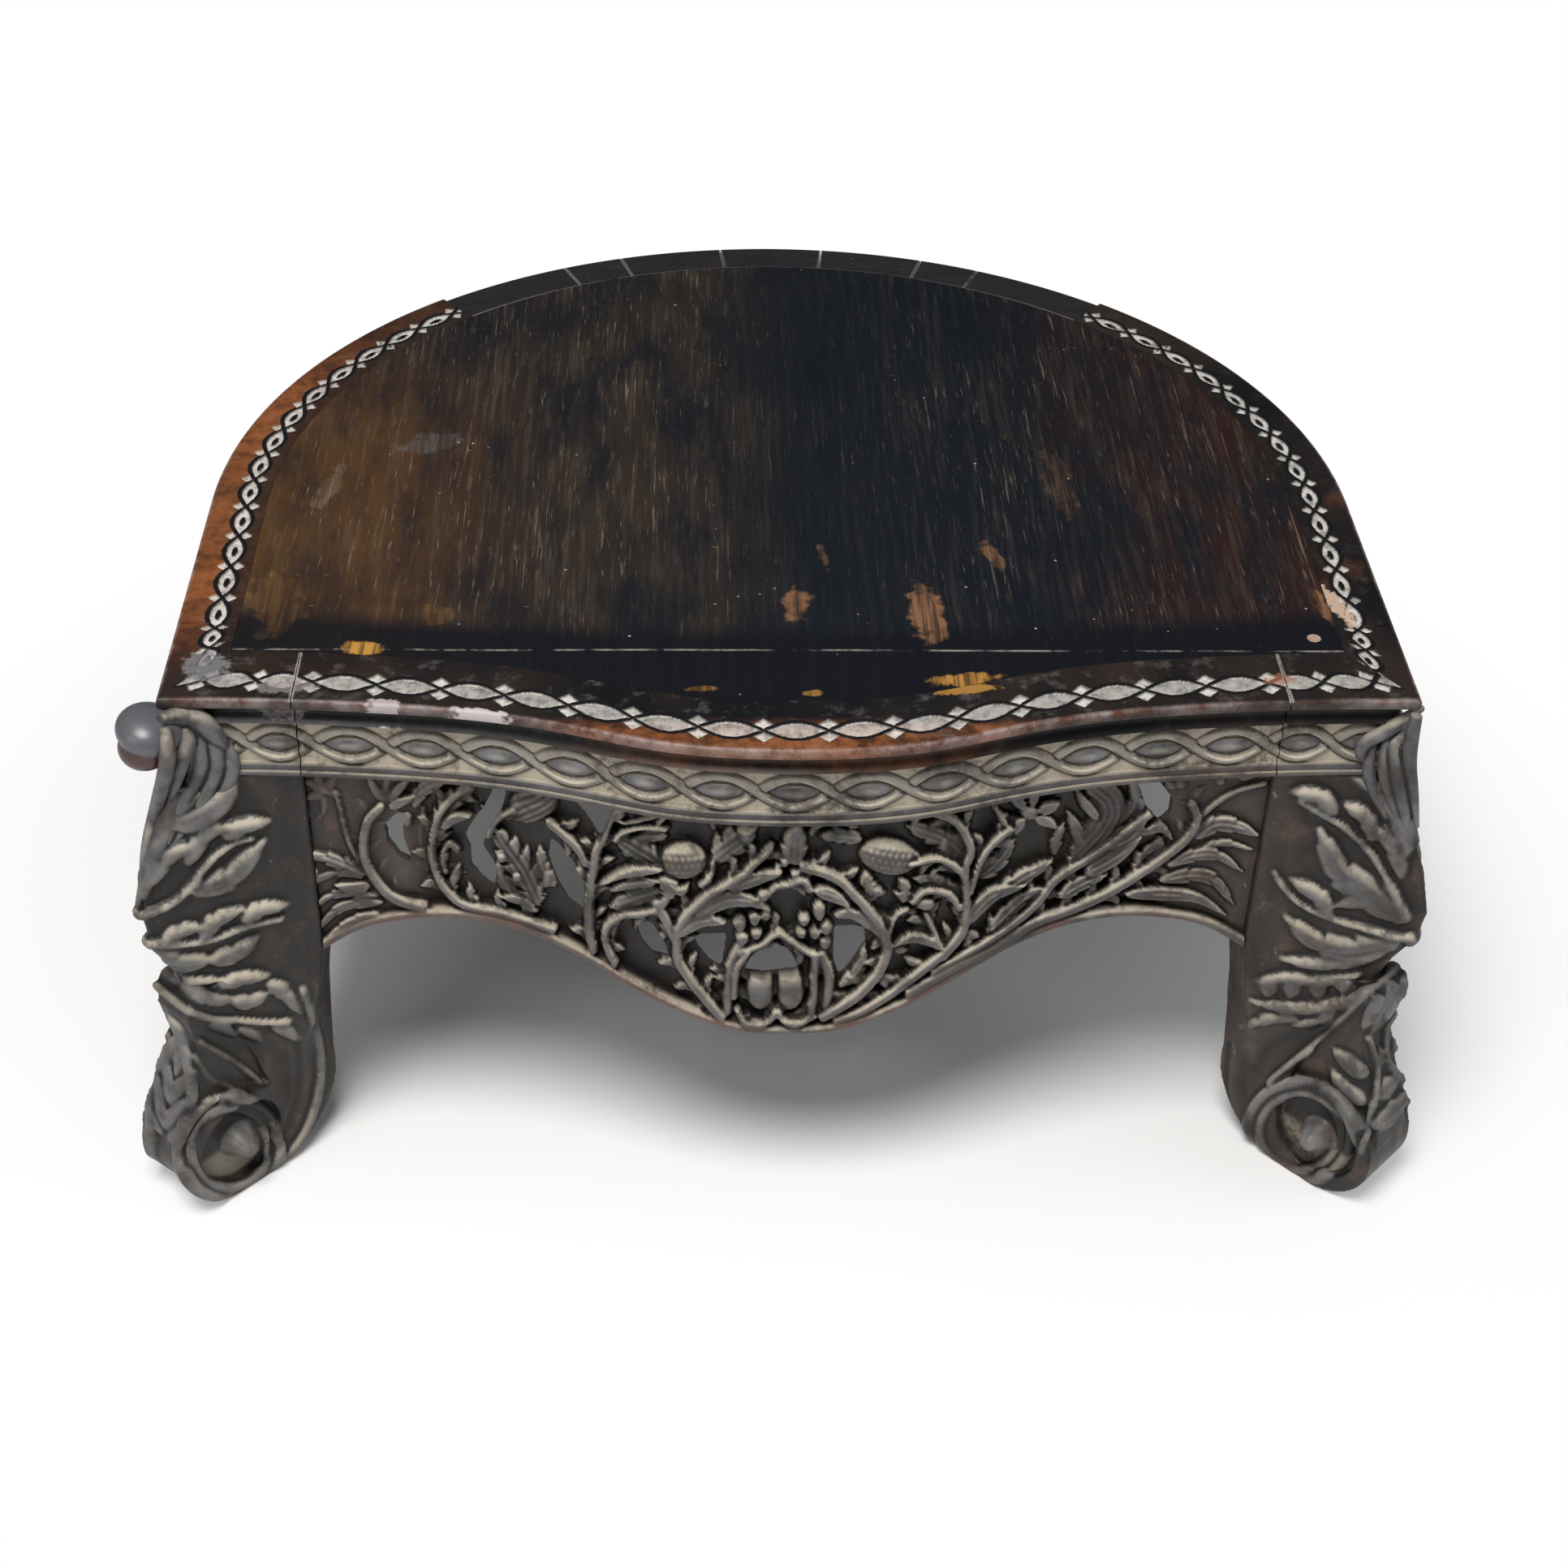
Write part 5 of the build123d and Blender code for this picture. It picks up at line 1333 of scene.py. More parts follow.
def foliage(x, z):
    """Heights of the front apron's foliage and the distance to its openings, at places on its face."""
    y = front_y(x) + mm("apron_inset")
    face = np.stack([x, y, z], -1)
    depth = mm("ground_depth")
    flat = np.clip((np.abs(x) - 178) / 22, 0, 1)
    ground = -depth + (depth - 4.5) * flat ** 2 * (3 - 2 * flat)
    relief = Relief(project(face), ground, 1.2)
    for strokes in (LEFT_FOLIAGE, MIDDLE_FOLIAGE, RIGHT_FOLIAGE):
        relief.draw(strokes)
        relief.sprigs(strokes, 17.0, 30.0, 13.0, 4.2)
    opening = np.full(len(x), 99.0)
    for share in (0.0, 0.5, 1.0):
        behind = depth + PLATE * share
        level = face + np.stack([0 * x, 0 * x + behind, 0 * x - behind * UNDERCUT], -1)
        pixels = project(level)
        for hole in HOLES:
            corners = np.array(hole)
            close = ((pixels > corners.min(0) - 4) & (pixels < corners.max(0) + 4)).all(1)
            opening[close] = np.minimum(opening[close], polygon_distance(pixels[close], hole))
    return relief.height, opening


def apron(start, end, on_front, edge_z, grain):
    """A carved apron's runs, front and back grids, kept cells and wear.

    on_front gives the place on the front apron that a run copies, and grain how coarse the net is.
    """
    columns = int((end - start) / (mm("step") * 0.8 * grain)) + 1
    s = np.linspace(start + JOINT_GAP, end - JOINT_GAP, columns)[None, :]
    t = np.linspace(0, 1, int(PANEL_ROWS / grain))[:, None]
    bottom = edge_z(s)
    z = RAIL_Z - (RAIL_Z - bottom) * t
    x = on_front(s) + 0 * t
    front_bottom = lower_edge(JOINT_X, FRONT_EDGE_SHARES, apron_high[2] - apron_low[2])
    z_front = RAIL_Z - (RAIL_Z - front_bottom(x)) * t
    height, opening = (grid.reshape(z.shape) for grid in foliage(x.ravel(), z_front.ravel()))
    slope = np.gradient(bottom[0], s[0])[None, :]
    above = (z - bottom) / np.sqrt(1 + slope ** 2)
    half = 3.0
    rounded_edge = 0.8 - half * (1 - np.sqrt(np.clip(1 - ((above - half) / half) ** 2, 0, 1)))
    height = np.where(above < 2 * half, np.maximum(height, rounded_edge), height)
    height = soften(height, 1)
    up = np.clip(np.gradient(height, axis=0) * 1.6, 0, 1)
    wide = soften(height, int(30 / grain ** 2))
    raised = np.clip((height - wide + 0.15) / 1.2, 0, 1)
    near = soften(height, int(6 / grain ** 2))
    # Tan of dust and painted highlight, a painted sheen on raised work and painted black shade
    dust_and_highlight, edge, lines_and_shade = tan_sheen_and_shade_maps(height, near, wide, raised, -mm("ground_depth"), up)
    dust_and_highlight *= (1 - 0.85 * np.clip(1 - above / 7, 0, 1)) * 0.78
    inset = mm("apron_inset")
    ease = np.clip(above / 14, 0, 1)

    def layer(behind):
        px, py = plan(s + 0 * z, inset + behind, inset + behind)
        return np.stack([px, py, z - behind * UNDERCUT * ease], -1)
    closed = np.where(above < 2 * half + 1, 9.0, opening) > 0
    keep = closed[:-1, :-1] & closed[1:, :-1] & closed[:-1, 1:] & closed[1:, 1:]
    maps = {"dust_and_highlight": dust_and_highlight, "edge": edge, "lines_and_shade": lines_and_shade, "rubbed": np.clip(1 - above / 9, 0, 1)}
    return s[0], layer(-height), layer(mm("ground_depth") + PLATE + 0 * z), keep, maps


def apron_pieces(name, node, run, on_front, edge_z, parts, grain=HIDDEN_GRAIN):
    """An apron built in side-by-side lengths that meet inside it."""
    s, front, back, keep, maps = apron(*run, on_front, edge_z, grain)
    stops = np.linspace(0, len(s) - 1, parts + 1).astype(int)
    for i, (a, b) in enumerate(zip(stops, stops[1:])):
        part = slice(a, b + 1)
        layers = {k: v[:, part] for k, v in maps.items()}
        piece = panel(f"{name}_{i + 1}", front[:, part], back[:, part], keep[:, a:b], layers)
        finish(piece, carved_finish(), node)


# Carving of the front left leg: base of each leaf first, then along its midrib to the tip
LEFT_LEG = (
    ("leaf", ((166, 1122), (177, 1021), (200, 944)), 22, 2.6),
    ("leaf", ((170, 1112), (200, 1010), (248, 944)), 24, 3.2),
    ("leaf", ((184, 1068), (212, 1010), (262, 962)), 16, 3.0),
    ("leaf", ((214, 1018), (250, 1004), (280, 978), (284, 948)), 26, 4.0),
    ("leaf", ((180, 1092), (204, 1058), (240, 1036)), 19, 3.6, 2, 0.2),
    ("leaf", ((230, 1064), (250, 1029), (284, 1012)), 19, 4.0, 2, 0.2),
    ("leaf", ((274, 1030), (301, 1016), (332, 1010)), 17, 4.2, 2, 0.2),
    ("stem", ((162, 1132), (217, 1108), (259, 1060), (288, 1038), (310, 1031)), 9, 4.6, 0.4),
    ("leaf", ((236, 1098), (284, 1078), (326, 1034)), 26, 3.6, 2, 0.15),
    ("leaf", ((196, 1160), (225, 1144), (252, 1137)), 16, 3.4, 2, 0.2),
    ("leaf", ((244, 1154), (267, 1131), (299, 1116)), 17, 3.8, 2, 0.2),
    ("leaf", ((295, 1132), (322, 1117), (354, 1113)), 16, 4.0, 2, 0.2),
    ("stem", ((166, 1154), (204, 1160), (259, 1154), (305, 1138), (348, 1129)), 8, 4.2, 0.4),
    ("leaf", ((180, 1168), (225, 1184), (265, 1176)), 23, 3.4, 2, 0.15),
    ("leaf", ((256, 1182), (290, 1172), (320, 1150)), 20, 3.4, 2, 0.15),
    ("leaf", ((190, 1190), (234, 1207), (274, 1204)), 15, 3.6, 2, 0.2),
    ("leaf", ((268, 1214), (297, 1203), (332, 1200)), 15, 3.8, 2, 0.2),
    ("leaf", ((222, 1216), (259, 1230), (290, 1227)), 17, 2.8, 2, 0.2),
    ("leaf", ((282, 1232), (309, 1232), (332, 1219)), 16, 2.8, 2, 0.2),
    ("leaf", ((328, 1208), (351, 1222), (370, 1246)), 17, 3.4, 2, 0.2),
    ("stem", ((176, 1176), (198, 1212), (234, 1244), (263, 1255), (297, 1255), (322, 1257), (356, 1255)), 9, 3.6, 0.3),
    ("leaf", ((256, 1262), (275, 1266), (292, 1278)), 13, 3.0),
    ("leaf", ((292, 1266), (308, 1271), (324, 1284)), 13, 3.0),
    ("leaf", ((334, 1262), (352, 1267), (366, 1280)), 13, 3.0),
    ("stem", ((172, 1226), (194, 1246), (221, 1268), (232, 1300), (238, 1346)), 15, 3.0, 0.2),
    ("stem", ((246, 1283), (288, 1307), (322, 1334)), 6, 2.0, 0.3),
    ("stem", ((240, 1300), (262, 1330), (300, 1346)), 6, 1.5, 0.3),
    ("ring", (283, 1414), (61, 63), 15, 3.6),
    ("ring", (283, 1414), (47, 49), 11, 2.6),
    ("stem", ((373, 1219), (389, 1269), (394, 1324), (381, 1379), (356, 1421), (318, 1459)), 11, 3.0, 0.1),
    ("groove", ((366, 1286), (371, 1337), (354, 1391), (322, 1433)), 10, 1.6),
    ("stem", ((196, 1408), (204, 1358), (210, 1316), (202, 1280)), 7, 3.0, 0.4),
    ("leaf", ((201, 1388), (224, 1366), (242, 1348)), 17, 2.6),
    ("leaf", ((205, 1358), (226, 1336), (242, 1318)), 17, 2.6),
    ("leaf", ((208, 1328), (221, 1307), (231, 1284)), 16, 2.6),
    ("leaf", ((193, 1388), (174, 1362), (165, 1334)), 19, 2.2),
    ("leaf", ((198, 1346), (180, 1324), (171, 1298)), 19, 2.2),
    ("leaf", ((200, 1412), (183, 1404), (166, 1382)), 18, 2.2),
    ("leaf", ((210, 1404), (220, 1396), (231, 1384)), 14, 2.6),
    ("bead", (166, 1164), (9, 12), 3.5),
    ("groove", ((262, 1276), (300, 1290), (334, 1300), (352, 1330)), 30, 2.0),
    # Painted shadows: the deep hollows kept black
    ("dark", ((244, 1264), (290, 1278), (330, 1286), (352, 1310)), 20, 0.95),
    ("dark", ((352, 1300), (356, 1345), (342, 1390)), 18, 0.9),
    ("dark", ((250, 1300), (262, 1326), (276, 1342)), 14, 0.7),
    ("dark", ((196, 1196), (226, 1232), (262, 1246)), 10, 0.6),
)

RIGHT_LEG = (
    ("leaf", ((1735, 1050), (1712, 985), (1668, 958)), 24, 3.0, 3, 0.2),
    ("leaf", ((1738, 1010), (1730, 960), (1708, 930)), 18, 3.0, 2, 0.2),
    ("leaf", ((1648, 1000), (1624, 980), (1592, 974)), 18, 4.0, 2, 0.2),
    ("leaf", ((1692, 1034), (1682, 1006), (1656, 990)), 19, 4.0, 2, 0.2),
    ("leaf", ((1728, 1080), (1716, 1042), (1690, 1014)), 19, 3.6, 2, 0.2),
    ("stem", ((1735, 1128), (1699, 1064), (1661, 1022), (1619, 996), (1600, 984)), 9, 4.6, 0.4),
    ("leaf", ((1732, 1132), (1690, 1098), (1650, 1072), (1626, 1022)), 40, 3.4, 3, 0.2),
    ("leaf", ((1642, 1128), (1624, 1101), (1590, 1082)), 18, 3.8, 2, 0.2),
    ("leaf", ((1714, 1128), (1680, 1108), (1646, 1114)), 18, 3.6, 2, 0.2),
    ("stem", ((1734, 1154), (1690, 1143), (1644, 1130), (1598, 1108), (1570, 1076)), 8, 4.2, 0.4),
    ("leaf", ((1722, 1158), (1657, 1168), (1619, 1156), (1584, 1128)), 30, 3.2, 3, 0.2),
    ("leaf", ((1704, 1172), (1657, 1182), (1619, 1185), (1578, 1180)), 15, 3.6, 2, 0.15),
    ("leaf", ((1676, 1200), (1623, 1206), (1585, 1202), (1548, 1208)), 12, 3.2, 2, 0.15),
    ("leaf", ((1564, 1200), (1564, 1214), (1560, 1226)), 22, 2.4),
    ("leaf", ((1592, 1202), (1592, 1216), (1588, 1228)), 22, 2.4),
    ("leaf", ((1622, 1204), (1624, 1216), (1622, 1228)), 22, 2.4),
    ("leaf", ((1652, 1200), (1656, 1212), (1656, 1222)), 22, 2.4),
    ("leaf", ((1694, 1216), (1660, 1232), (1620, 1240), (1585, 1238), (1540, 1231)), 14, 3.4, 2, 0.15),
    ("leaf", ((1600, 1254), (1572, 1252), (1528, 1264)), 13, 2.8, 3, 0.25),
    ("leaf", ((1648, 1246), (1624, 1258), (1592, 1262)), 14, 2.8, 2, 0.25),
    ("stem", ((1742, 1168), (1699, 1214), (1665, 1244), (1619, 1286), (1564, 1332)), 7, 3.4, 0.1),
    ("leaf", ((1716, 1200), (1714, 1226), (1706, 1256)), 18, 2.4),
    ("leaf", ((1700, 1226), (1692, 1246), (1680, 1266)), 16, 2.4),
    ("ring", (1602, 1394), (64, 62), 15, 3.6),
    ("ring", (1602, 1394), (50, 48), 11, 2.6),
    ("stem", ((1518, 1198), (1497, 1261), (1493, 1324), (1509, 1383), (1543, 1429), (1589, 1463)), 11, 3.0, 0.1),
    ("groove", ((1512, 1286), (1509, 1345), (1526, 1396), (1564, 1438)), 10, 1.6),
    ("stem", ((1678, 1417), (1690, 1366), (1695, 1316), (1686, 1278)), 7, 3.0, 0.4),
    ("leaf", ((1683, 1326), (1661, 1307), (1644, 1292)), 17, 2.6),
    ("leaf", ((1684, 1358), (1658, 1341), (1642, 1318)), 17, 2.6),
    ("leaf", ((1680, 1391), (1661, 1370), (1647, 1344)), 17, 2.6),
    ("leaf", ((1696, 1312), (1707, 1295), (1703, 1270)), 16, 2.2),
    ("leaf", ((1696, 1354), (1713, 1332), (1717, 1304)), 18, 2.2),
    ("leaf", ((1691, 1388), (1714, 1370), (1721, 1340)), 18, 2.2),
    ("bead", (1737, 1156), (9, 11), 3.0),
    ("groove", ((1628, 1268), (1590, 1286), (1562, 1304), (1542, 1330)), 30, 2.0),
    # Painted shadows: the deep hollows kept black
    ("dark", ((1640, 1264), (1600, 1276), (1566, 1290), (1544, 1318)), 20, 0.95),
    ("dark", ((1534, 1300), (1530, 1345), (1544, 1390)), 16, 0.8),
    ("dark", ((1652, 1300), (1634, 1326), (1622, 1342)), 12, 0.6),
    ("dark", ((1700, 1196), (1670, 1228), (1640, 1246)), 10, 0.5),
)


def edges_of(mesh):
    """Pairs of joined points of a mesh."""
    pairs = np.empty(len(mesh.edges) * 2, np.int64)
    mesh.edges.foreach_get("vertices", pairs)
    return pairs.reshape(-1, 2)


def blurred(values, pairs, passes):
    """Values on a mesh's points averaged with their neighbours a number of times."""
    count = len(values)
    ties = np.bincount(pairs.ravel(), minlength=count) + 1
    for _ in range(passes):
        total = values + np.bincount(pairs[:, 0], values[pairs[:, 1]], count)
        total = total + np.bincount(pairs[:, 1], values[pairs[:, 0]], count)
        values = total / ties
    return values


def renet(piece, voxel, passes):
    """Give a piece one closed, even net of small faces and soften it."""
    pick(piece)
    net = piece.modifiers.new("net", "REMESH")
    net.mode = "VOXEL"
    net.voxel_size = voxel * MM
    bpy.ops.object.modifier_apply(modifier="net")
    ease = piece.modifiers.new("ease", "SMOOTH")
    ease.factor = 0.5
    ease.iterations = passes
    bpy.ops.object.modifier_apply(modifier="ease")


def trimmed(node, name, high, voxel):
    """A copy of a CAD node cut off above a height, closed, in an even net of small faces."""
    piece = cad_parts[node].copy()
    piece.data = piece.data.copy()
    piece.name = name
    piece.parent = None
    bpy.context.collection.objects.link(piece)
    mesh = bmesh.new()
    mesh.from_mesh(piece.data)
    bmesh.ops.remove_doubles(mesh, verts=mesh.verts, dist=0.00002)
    cut = bmesh.ops.bisect_plane(mesh, geom=mesh.verts[:] + mesh.edges[:] + mesh.faces[:],
                                 plane_co=(0, 0, high * MM), plane_no=(0, 0, 1), clear_outer=True)
    rim = [e for e in cut["geom_cut"] if isinstance(e, bmesh.types.BMEdge)]
    bmesh.ops.holes_fill(mesh, edges=rim, sides=0)
    mesh.to_mesh(piece.data)
    mesh.free()
    renet(piece, voxel, 6)
    return piece


def coordinates_of(mesh):
    """Points of a mesh, in millimetres, and its normals."""
    count = len(mesh.vertices)
    points = np.empty(count * 3)
    normals = np.empty(count * 3, np.float32)
    mesh.vertices.foreach_get("co", points)
    mesh.vertex_normals.foreach_get("vector", normals)
    return points.reshape(-1, 3) / MM, normals.reshape(-1, 3)


def inside_box(points):
    """Points in millimetres, kept just inside the CAD model's box."""
    low, high = (np.array(corner) / MM for corner in cad_box)
    return np.clip(points, low + 0.1, high - 0.1)


# Where the foot's rolled end turns about: how far out from the corner, and its height
ROLL_CENTRE = (2.0, 35.0)


def corner_frame(side):
    """A front corner's place, its outward diagonal and the diagonal's crossing direction."""
    root = 2 ** 0.5
    origin = np.array([side * HALF, CORNER_Y, 0.0])
    return origin, np.array([side, -1, 0]) / root, np.array([-side, -1, 0]) / root


def leg_wear_and_painted_light(points, height, pairs, up, shadow, reach, across):
    """Shares of tan dust and painted highlight, painted slate sheen, painted black shade and rubbed red on a leg, with
    painted shade in the foot's eye and a painted highlight on its boss.
    """
    near = blurred(height, pairs, 12)
    dust_and_highlight, edge, lines_and_shade = tan_sheen_and_shade_maps(height, near, blurred(near, pairs, 50), np.clip(height / 1.5, 0, 1), -9.0, up)
    dust_and_highlight *= 0.80
    lines_and_shade = np.maximum(lines_and_shade, shadow)
    z = points[:, 2]
    from_axis = np.hypot(reach - ROLL_CENTRE[0], z - ROLL_CENTRE[1])
    boss = np.clip((across - 14.3) / 1.0, 0, 1) * np.clip((12.5 - from_axis) / 1.0, 0, 1)
    bowl = np.clip((19.0 - across) / 1.0, 0, 1) * np.clip((25.0 - from_axis) / 1.5, 0, 1)
    bowl = bowl * np.clip((across - 11) / 2, 0, 1) * (1 - boss)
    # Painted highlight on the boss: it takes the full sheen and a little tan
    edge = np.maximum(edge * (1 - bowl), boss)
    dust_and_highlight = np.maximum(dust_and_highlight * (1 - boss), bowl * np.clip((ROLL_CENTRE[1] - z) / 8, 0, 0.35))
    dust_and_highlight = np.maximum(dust_and_highlight, boss * 0.10)
    # Painted shade in the eye's upper part, under the roll
    lines_and_shade = np.maximum(lines_and_shade * (1 - boss), bowl * np.clip((z - ROLL_CENTRE[1] + 6) / 6, 0, 0.9))
    rubbed = np.clip(1 - z / 9, 0, 1) + boss * np.clip((ROLL_CENTRE[1] - 2 - z) / 4, 0, 1)
    return {"dust_and_highlight": dust_and_highlight, "edge": edge, "lines_and_shade": lines_and_shade, "rubbed": np.clip(rubbed, 0, 1)}


def carve_leg(node, name, strokes, side, turn=None):
    """A leg carved on both sides of its outward diagonal with strokes seen on a front corner leg.

    A rear leg is carved with a front leg's strokes: turn gives the angle of its outward line, and its
    single face above the knee takes the carving of the front leg's two faces.
    """
    piece = trimmed(node, name, RAIL_Z, mm("voxel") * (1.0 if turn is None else HIDDEN_GRAIN))
    points, normals = coordinates_of(piece.data)
    origin, outward_line, across_line = corner_frame(side)
    own_origin, own_outward, own_across = origin, outward_line, across_line
    if turn is not None:
        own_outward = np.array([cos(radians(turn)), sin(radians(turn)), 0])
        own_across = side * np.array([-own_outward[1], own_outward[0], 0])
        own_origin = np.array([0, ARC_Y, 0]) + HALF * own_outward
    own_reach = reach = (points - own_origin) @ own_outward
    across = (points - own_origin) @ own_across
    mirror = np.where(across < 0, -1.0, 1.0)
    across_of_foot = across = np.abs(across)
    if turn is not None:
        face = np.clip((points[:, 2] - 120) / 40, 0, 1)
        reach = reach - face * 1.34 * across
        across = across * (1 + 0.34 * face)
    seen = origin + np.outer(reach, outward_line) + np.outer(across, across_line)
    seen[:, 2] = points[:, 2]
    toward = np.outer(normals @ own_outward, outward_line) + np.outer(mirror * (normals @ own_across), across_line)
    toward[:, 2] = normals[:, 2]
    weight = np.clip((-(toward @ np.array(view_axes()[3])) - 0.10) / 0.35, 0, 1)
    weight *= np.clip((RAIL_Z - points[:, 2]) / 5, 0, 1) * np.clip(points[:, 2] / 8, 0, 1)
    relief = Relief(project(seen), 0.0, 1.4)
    relief.draw(strokes)
    pairs = edges_of(piece.data)
    weight = blurred(weight, pairs, 12)
    height = blurred(relief.height, pairs, 3) * weight * 1.15
    moved = points + normals * height[:, None]
    moved[:, 2] = np.minimum(moved[:, 2], RAIL_Z)
    piece.data.vertices.foreach_set("co", (inside_box(moved) * MM).ravel())
    piece.data.update()
    up = blurred(np.clip((coordinates_of(piece.data)[1][:, 2] - normals[:, 2]) * 1.5, 0, 1), pairs, 5)
    shadow = blurred(relief.shadow, pairs, 2) * np.clip(weight * 2, 0, 1)
    for key, values in leg_wear_and_painted_light(points, height, pairs, up, shadow, own_reach, across_of_foot).items():
        store(piece.data, key, values)
    piece.data.update()
    close_up(piece, 180.0)
    finish(piece, carved_finish(), node)


class STOOL_OT_seat(bpy.types.Operator):
    """Finish the seat boards, their pegs and the work hidden under them."""
    bl_idname = "stool.seat"
    bl_label = "Seat boards"

    def execute(self, context):
        for i in range(1, 6):
            paint(f"seat_board_{i}", board_finish())
        paint("seat_pegs", peg_finish())
        inner = plain_finish("inner_wood", (0.10, 0.055, 0.028, 1), (0.20, 0.12, 0.065, 1), 0.6, 0.8)
        for node in INNER:
            paint(node, inner)
        paint("batten_screws", plain_finish("old_iron", rgb("iron"), (0.14, 0.07, 0.04, 1), 0.5, 0.8))
        return {"FINISHED"}


def spans():
    """Each length of rim and frieze between the legs: its word, the word of its CAD nodes and its run."""
    first, last = REAR_LEG_ANGLES
    return (("front", "front", (-JOINT_X, JOINT_X)),
            ("right", "side_right", (SIDE_JOINT, arc_run(first))),
            ("left", "side_left", (-arc_run(first), -SIDE_JOINT)),
            ("rear", "rear", (arc_run(last), arc_run(180 - last))))


class STOOL_OT_rim(bpy.types.Operator):
    """Model the moulded and carved rim members and the plain blocks round the back."""
    bl_idname = "stool.rim"
    bl_label = "Rim"

    def execute(self, context):
        for word, node, run in spans()[:3]:
            finish(rim_member(f"rim_{word}_carved", *run), rim_finish(), f"rim_{node}")
        for i, edges in enumerate(zip(REAR_BLOCK_EDGES, REAR_BLOCK_EDGES[1:])):
            block = rim_member(f"rear_block_{i + 1}", *map(arc_run, edges), carved=False, drop=2.0)
            finish(block, block_finish(), f"rim_rear_block_{i + 1}")
        return {"FINISHED"}


class STOOL_OT_frieze(bpy.types.Operator):
    """Model the frieze rails with their woven links."""
    bl_idname = "stool.frieze"
    bl_label = "Frieze"

    def execute(self, context):
        for word, node, run in spans():
            finish(frieze_member(f"frieze_{word}", *run), carved_finish(), f"rail_{node}")
        return {"FINISHED"}


class STOOL_OT_aprons(bpy.types.Operator):
    """Model the pierced aprons with their foliage."""
    bl_idname = "stool.aprons"
    bl_label = "Aprons"

    def execute(self, context):
        front, right, left, rear = (run for _, _, run in spans())
        front_edge = lower_edge(JOINT_X, FRONT_EDGE_SHARES, apron_high[2] - apron_low[2])
        apron_pieces("apron_foliage", "apron_front", front, lambda s: s, front_edge, 3, 1.0)
        end_y = ARC_Y + HALF * sin(radians(REAR_LEG_ANGLES[0]))
        half = (end_y - CORNER_Y - LEG_BLOCK) / 2
        middle = CORNER_Y + LEG_BLOCK + half
        side_edge = lower_edge(half, PLAIN_EDGE_SHARES, SIDE_PENDANT)
        rear_edge = lower_edge(HALF * cos(radians(REAR_LEG_ANGLES[1])), PLAIN_EDGE_SHARES, SIDE_PENDANT)

        def side_z(s):
            return side_edge(plan(s, 0.0, 0.0)[1] - middle)

        def rear_z(s):
            return rear_edge(plan(s, 0.0, 0.0)[0])

        def copy_of_front(run, reach):
            centre = sum(run) / 2

            def copied(s):
                share = np.abs(np.abs(s) - centre) / (run[1] - centre)
                return -(JOINT_X - reach * (1 - share))
            return copied
        on_side = copy_of_front(right, FOLIAGE_REACH)
        apron_pieces("apron_right", "apron_side_right", right, on_side, side_z, 2)
        apron_pieces("apron_left", "apron_side_left", left, on_side, side_z, 2)
        apron_pieces("apron_back", "apron_rear", rear, copy_of_front(rear, REAR_FOLIAGE_REACH), rear_z, 3)
        return {"FINISHED"}


def surface(node):
    """A CAD node's surface, for finding where lines of sight meet it."""
    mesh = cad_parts[node].data
    return BVHTree.FromPolygons([v.co for v in mesh.vertices], [p.vertices for p in mesh.polygons])


def on_leg(tree, pixel, out):
    """The place on a leg, or nearest to it, that appears at a pixel, moved out from its surface, in millimetres."""
    place, line = sight(pixel)
    hit, normal, _, _ = tree.ray_cast(place * MM, line)
    if hit is None:
        tried = [(place + line * d) * MM for d in np.arange(VIEW_DISTANCE - 150, VIEW_DISTANCE + 150, 5.0)]
        return min(tried, key=lambda point: tree.find_nearest(point)[3]) / MM
    if normal.dot(line) > 0:
        normal = -normal
    return hit / MM + normal * out


def lump(centre, radii, turn=(0, 0, 0)):
    """An oval lump, in millimetres."""
    bpy.ops.mesh.primitive_uv_sphere_add(segments=48, ring_count=32, radius=MM, location=Vector(centre) * MM)
    piece = bpy.context.active_object
    piece.scale = radii
    piece.rotation_euler = turn
    return piece


def tendril(points, radii):
    """A round tendril through points, with a radius at each, in millimetres."""
    line = bpy.data.curves.new("tendril", "CURVE")
    line.dimensions = "3D"
    line.bevel_depth = MM
    line.bevel_resolution = 6
    line.resolution_u = 12
    line.use_fill_caps = True
    run = line.splines.new("NURBS")
    run.points.add(len(points) - 1)
    for knot, point, radius in zip(run.points, points, radii):
        knot.co = (*(Vector(point) * MM), 1.0)
        knot.radius = radius
    run.use_endpoint_u = True
    run.order_u = 3
    piece = bpy.data.objects.new("tendril", line)
    bpy.context.collection.objects.link(piece)
    pick(piece)
    bpy.ops.object.convert(target="MESH")
    return bpy.context.active_object


def merged(name, pieces, voxel, passes):
    """Pieces run together into one closed, softened piece with a painted highlight, sheen and shade worked out from
    its shape.
    """
    pick(*pieces)
    bpy.ops.object.join()
    piece = bpy.context.active_object
    bpy.ops.object.transform_apply(location=True, rotation=True, scale=True)
    piece.name = name
    renet(piece, voxel, passes)
    points, normals = coordinates_of(piece.data)
    points = inside_box(points)
    pairs = edges_of(piece.data)
    mean = np.stack([blurred(points[:, i], pairs, 6) for i in range(3)], -1)
    hollow = ((mean - points) * normals).sum(1)
    piece.data.vertices.foreach_set("co", (points * MM).ravel())
    # Tan: a painted highlight on parts facing up; edge: a painted sheen on convex parts; black: painted shade in
    # hollows
    store(piece.data, "dust_and_highlight", np.clip(normals[:, 2] - 0.25, 0, 0.45) * (hollow < 0.05))
    store(piece.data, "edge", np.clip(0.6 - hollow * 2, 0, 1))
    store(piece.data, "lines_and_shade", np.clip(hollow * 8 - 0.1, 0, 1))
    close_up(piece, 180.0)
    return piece


def knob_place(reach, z):
    """A point out from the front left corner along its diagonal."""
    origin, outward_line, _ = corner_frame(-1)
    return Vector((*(origin + outward_line * reach)[:2], z))


